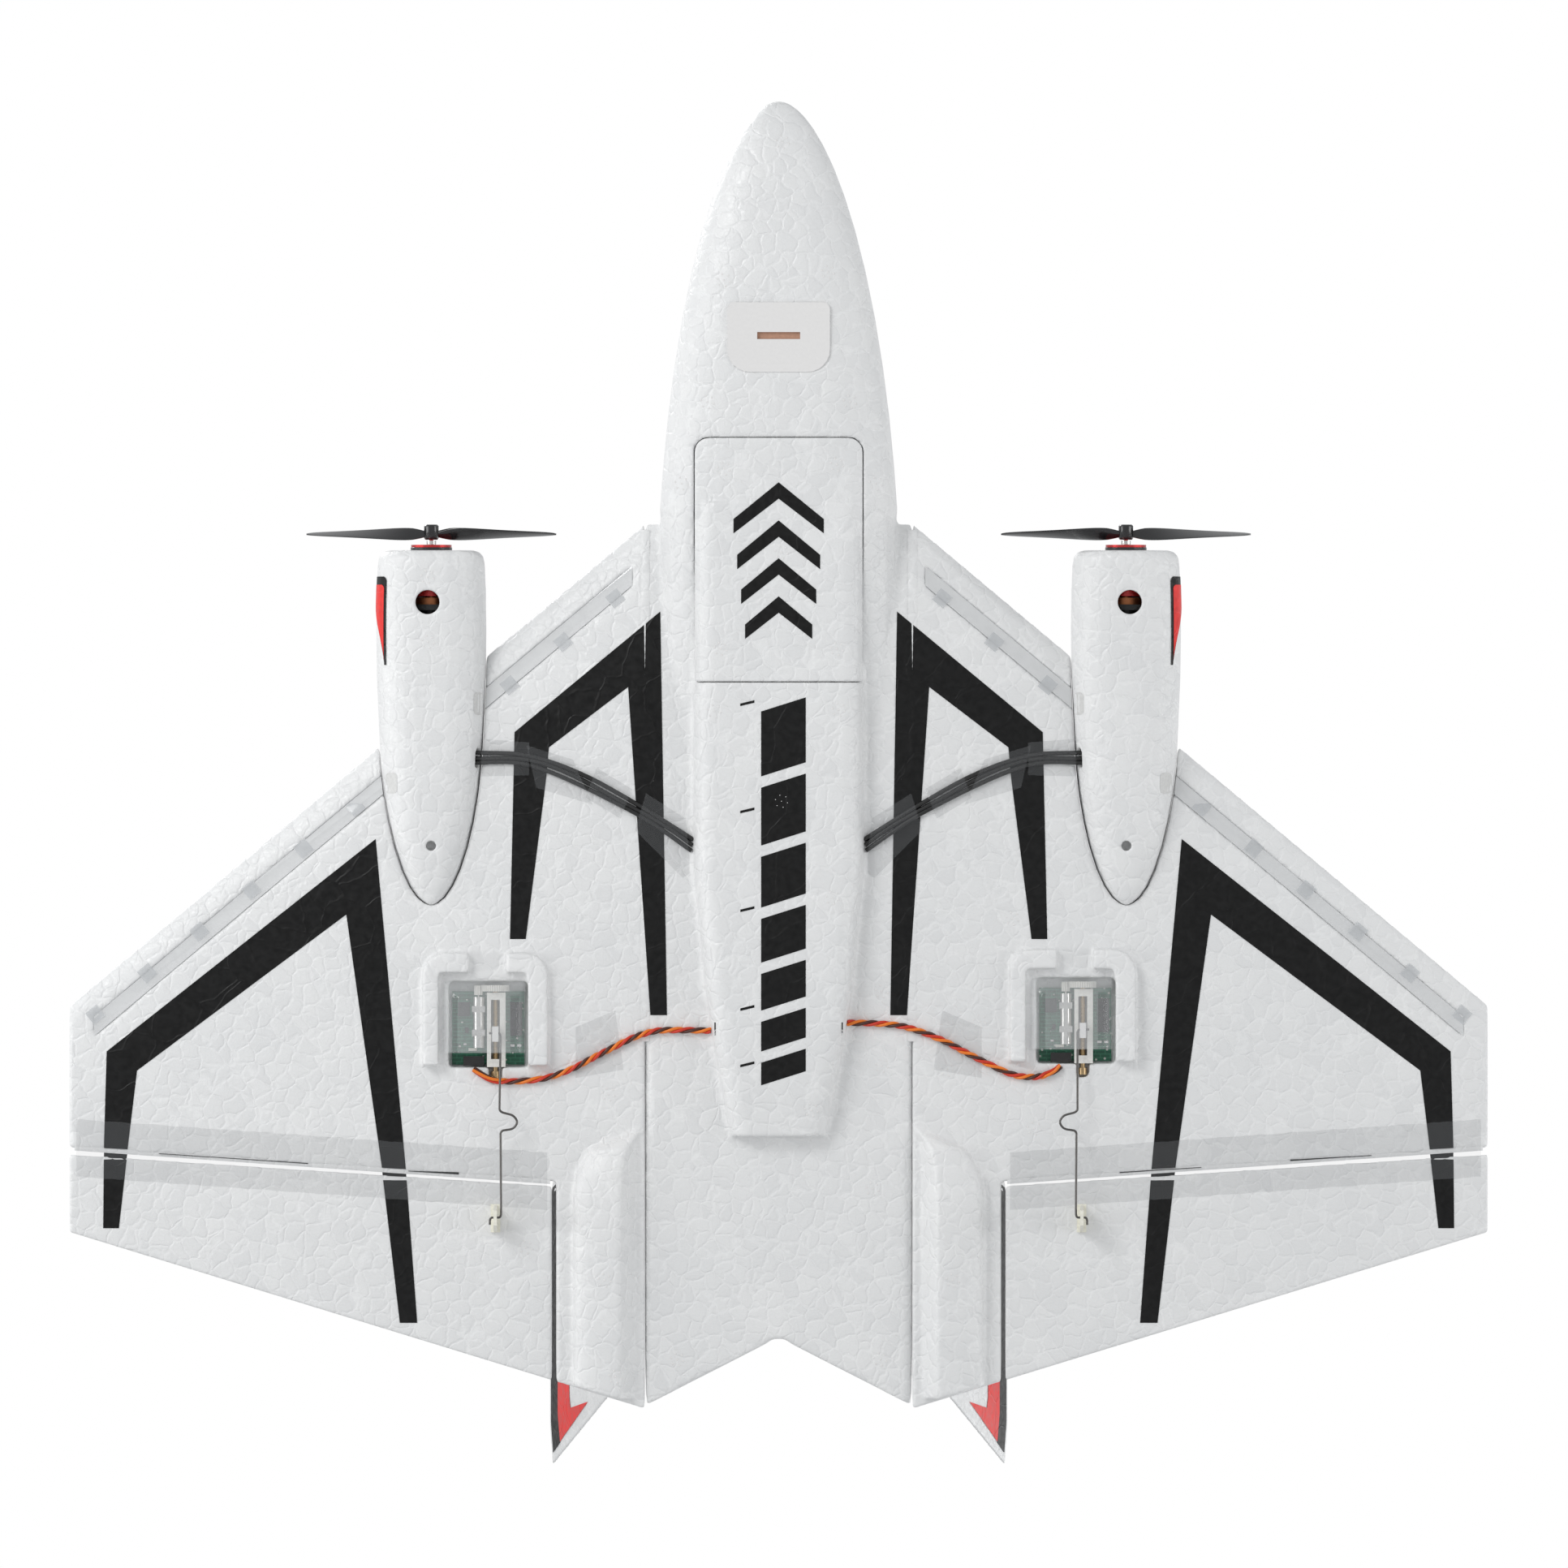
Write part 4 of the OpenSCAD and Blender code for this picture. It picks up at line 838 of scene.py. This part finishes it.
def boxed(name, side, low, high, key):
    """A small bevelled block in servo coordinates, on the servo's board."""
    corners = [(x, y, z) for z in (low[2], high[2]) for x, y in
               ((low[0], low[1]), (high[0], low[1]), (high[0], high[1]), (low[0], high[1]))]
    faces = [(0, 1, 2, 3), (4, 5, 6, 7), (0, 1, 5, 4), (1, 2, 6, 5), (2, 3, 7, 6), (3, 0, 4, 7)]
    verts = [(SCREW_X[side] + x, GEAR_Y[side] + y, z) for x, y, z in corners]
    obj = add_mesh(name, verts, faces, key, None, 30)
    soft = obj.modifiers.new("edge", "BEVEL")
    soft.width, soft.segments = CHIP_BEVEL * MM, 2
    bpy.context.view_layer.objects.active = obj
    bpy.ops.object.modifier_apply(modifier="edge")
    return obj


POCKET_Z = SERVO_Z + 8.8
BOARD_Z = POCKET_Z - 1.1
# Each chip's corner x and y, width, depth and height, in servo coordinates
CHIPS = [
    (-13.4, 6, 4.2, 5, 1.3, "black_plastic"), (-13.6, 14, 2.0, 1.2, 0.7, "cream"),
    (-13.6, 16.2, 2.0, 1.2, 0.7, "cream"), (-10.8, 15, 1.2, 2.0, 0.6, "black_plastic"),
    (-13.6, 19, 1.4, 1.4, 0.6, "steel"), (-11.6, 20.6, 1.4, 0.8, 0.5, "steel"),
    (-9.6, 22.4, 3, 1, 0.5, "cream"), (5.2, 6, 4.2, 12, 0.9, "black_gloss"),
    (5.2, 21, 1.6, 0.9, 0.6, "steel"), (7.6, 21, 1.6, 0.9, 0.6, "steel"),
]
for side, s in SIDES:
    blister(side)
    chips = []
    for i, (x, y, w, d, h, key) in enumerate(CHIPS):
        low, high = (x, y, BOARD_Z - h), (x + w, y + d, BOARD_Z + 0.1)
        chips.append(boxed(f"{side}_chip_{i}", side, low, high, key))
    parts = join(f"{side}_board_parts", chips)
    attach(parts, "root")


# ---------------------------------------------------------------- pushrods
HORN_X, HORN_Y, ROD_R = {"left": -98.6, "right": 105.6}, 153.4, 0.4
ROD_Z = SERVO_Z + 3.2 - 5.9
HORN_PIN_Z = WING_Z - skin(100, hinge_y(100)) - 9.5


def filleted(points, radius, steps=6):
    """A route with its corners rounded."""
    pts = [Vector(p) for p in points]
    out = [pts[0]]
    for a, b, c in zip(pts, pts[1:], pts[2:], strict=False):
        r = min(radius, (b - a).length * 0.48, (c - b).length * 0.48)
        p, q = b + (a - b).normalized() * r, b + (c - b).normalized() * r
        out += [(1 - f) ** 2 * p + 2 * f * (1 - f) * b + f * f * q for f in (i / steps for i in range(steps + 1))]
    return out + [pts[-1]]


for side, s in SIDES:
    x0, y0, x1, w = SCREW_X[side], GEAR_Y[side] + 17, HORN_X[side], -s
    run = [(x0 - w * 2.2, y0), (x0 + w * 1.5, y0), (x0 + w * 1.9, y0 + 1), (x1 - w * 0.4, 115.4), (x1 + w * 0.6, 116.2),
           (x1 + w * 4.6, 117.2), (x1 + w * 6.2, 119.6), (x1 + w * 4.6, 122), (x1 + w * 0.6, 122.6), (x1, 123.4),
           (x1 + w * 0.2, HORN_Y - 1), (x1 - w * 0.2, HORN_Y), (x1 - w * 3.4, HORN_Y), (x1 - w * 3.8, HORN_Y + 1),
           (x1 - w * 3.8, HORN_Y + 2.6)]
    fall = (HORN_PIN_Z - ROD_Z) / (HORN_Y - y0)
    path_points = filleted([(x, y, ROD_Z + fall * (y - y0)) for x, y in run], 1.6)
    rod = loft(f"{side}_rod_wire", tube_rings(path_points, ROD_R, 12), "wire", f"{side}_rod", 60)
    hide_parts(f"{side}_pushrod")

# ---------------------------------------------------------------- propellers and motor rings
BELL_FRONT = -85.2
HUB_PROFILE = [(0.78, -3.3), (2.1, -3.3), (2.6, -2.8), (2.6, 1.5), (2.2, 2.1), (0.78, 2.1)]
BELL_RING_PROFILE = [(7.25, 0.9), (7.38, 1.0), (7.38, 2.6), (7.25, 2.7)]


def turned_rings(s, profile, y0, turns):
    """Rings of a profile of (radius, y) points turned about the motor's axis."""
    return [[(s * (MOTOR_X + r * math.cos(a)), y0 + y, WING_Z + r * math.sin(a)) for r, y in profile]
            for a in (2 * math.pi * k / turns for k in range(turns + 1))]


def chord(r):
    """The blade's width in mm at radius r."""
    t = min(max((r - 2) / (PROP_D / 2 - 2), 0), 1)
    full = (2.4 + 7.4 * (1 - math.exp(-4 * t))) * (1 - 0.45 * t * t)
    return max(full * math.sqrt(max(1 - t**16, 0)), 1)


def blade_ring(r, flip):
    """One section of a blade: along the blade, across it in height, then along the shaft."""
    c = chord(r)
    b = math.atan(PROP_PITCH / (2 * math.pi * max(r, 6.5)))
    h = max(1.1 - 0.7 * r / 44, 0.35)
    ring = []
    for k in range(20):
        a = 2 * math.pi * k / 20
        u = 0.5 * math.cos(a) * c
        v = (0.55 if math.sin(a) > 0 else 0.12) * math.sin(a) * 2 * h
        ring.append((flip * r, flip * (u * math.cos(b) - v * math.sin(b)), u * math.sin(b) + v * math.cos(b)))
    return ring


for side, s in SIDES:
    pieces = []
    for flip in (1, -1):
        radii = [2.2 + (PROP_D / 2 - 2.2) * (i / 36) ** 0.9 for i in range(37)]
        rings = [[(s * (MOTOR_X + p[0]), PROP_Y + p[2], WING_Z - p[1]) for p in blade_ring(r, flip)] for r in radii]
        pieces.append(loft(f"{side}_blade_{flip}", rings, "black_gloss", None, 50))
    hub = turned_rings(s, HUB_PROFILE, PROP_Y, 40)
    pieces.append(loft(f"{side}_hub", hub, "black_gloss", None, 35, caps=False))
    prop = join(f"{side}_prop", pieces)
    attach(prop, f"{side}_rotor")
    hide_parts(f"{side}_propeller")
    loft(f"{side}_bell_ring", turned_rings(s, BELL_RING_PROFILE, BELL_FRONT, 64), "black_gloss", f"{side}_rotor",
         35, caps=False)

# ---------------------------------------------------------------- stage, lights and camera
scene = bpy.context.scene
scene.view_settings.view_transform = "Standard"
scene.view_settings.look = "None"

world = bpy.data.worlds.new("studio")
scene.world = world
world.use_nodes = True
wn, wl = world.node_tree.nodes, world.node_tree.links
wn.clear()
out = wn.new("ShaderNodeOutputWorld")
mix = wn.new("ShaderNodeMixShader")
seen = wn.new("ShaderNodeBackground")
seen.inputs[0].default_value = (1, 1, 1, 1)
seen.inputs[1].default_value = 1.0
fill = wn.new("ShaderNodeBackground")
fill.inputs[0].default_value = (0.97, 0.985, 1.0, 1)
fill.inputs[1].default_value = 0.6
path = wn.new("ShaderNodeLightPath")
wl.new(path.outputs["Is Camera Ray"], mix.inputs[0])
wl.new(fill.outputs[0], mix.inputs[1])
wl.new(seen.outputs[0], mix.inputs[2])
wl.new(mix.outputs[0], out.inputs[0])

# The floor shows only to a camera above it, so the belly can be lit and seen from below
FLOOR_HALF, FLOOR_Z = 4.0, -0.0006
mesh = bpy.data.meshes.new("floor")
mesh.from_pydata([(x * FLOOR_HALF, y * FLOOR_HALF, FLOOR_Z) for x, y in ((-1, -1), (1, -1), (1, 1), (-1, 1))], [],
                 [(0, 1, 2, 3)])
floor = bpy.data.objects.new("floor", mesh)
scene.collection.objects.link(floor)
fm = bpy.data.materials.new("pale_floor")
fm.use_nodes = True
fn, fl = fm.node_tree.nodes, fm.node_tree.links
fn["Principled BSDF"].inputs["Base Color"].default_value = (0.80, 0.80, 0.80, 1)
fn["Principled BSDF"].inputs["Roughness"].default_value = 0.9
seen_above = fn.new("ShaderNodeMixShader")
gone = fn.new("ShaderNodeBsdfTransparent")
light_path = fn.new("ShaderNodeLightPath")
facing = fn.new("ShaderNodeNewGeometry")
above = fn.new("ShaderNodeMath")
above.operation = "SUBTRACT"
above.inputs[0].default_value = 1.0
fl.new(facing.outputs["Backfacing"], above.inputs[1])
both = fn.new("ShaderNodeMath")
both.operation = "MULTIPLY"
fl.new(above.outputs[0], both.inputs[0])
fl.new(light_path.outputs["Is Camera Ray"], both.inputs[1])
fl.new(both.outputs[0], seen_above.inputs[0])
fl.new(gone.outputs[0], seen_above.inputs[1])
fl.new(fn["Principled BSDF"].outputs[0], seen_above.inputs[2])
fl.new(seen_above.outputs[0], fn["Material Output"].inputs["Surface"])
floor.data.materials.append(fm)


AIM = Vector((0, 0, 0.02))
# Name, place and size in metres, and power in watts
LAMPS = [
    ("key_below", (-1.1, -0.9, -1.3), (0.7, 0.7), 11.5),
    ("left_below", (-1.5, 0.1, -0.35), (0.35, 1.4), 6.2),
    ("right_below", (1.5, 0.1, -0.4), (0.35, 1.4), 5.6),
    ("key_above", (-1.0, -1.1, 1.6), (0.9, 0.9), 14),
    ("fill_above", (1.4, 0.8, 1.2), (1.0, 1.0), 6),
]
for name, place, size, power in LAMPS:
    data = bpy.data.lights.new(name, "AREA")
    data.shape = "RECTANGLE"
    data.size, data.size_y = size
    data.energy = power
    lamp = bpy.data.objects.new(name, data)
    scene.collection.objects.link(lamp)
    lamp.location = place
    lamp.rotation_euler = (AIM - Vector(place)).to_track_quat("-Z", "Y").to_euler()

# A long lens from far below, so the view has almost no perspective
CAMERA_AWAY = 10.0
VIEW_WIDE = 0.5564
SENSOR = 36
camera_data = bpy.data.cameras.new("camera")
camera_data.sensor_width = SENSOR
camera_data.lens = SENSOR * CAMERA_AWAY / VIEW_WIDE
camera_data.clip_end = 2 * CAMERA_AWAY
camera = bpy.data.objects.new("camera", camera_data)
scene.collection.objects.link(camera)
camera.location = (0.0019, -0.0003, -CAMERA_AWAY + 0.015)
camera.rotation_euler = (math.pi, 0, 0)
scene.camera = camera
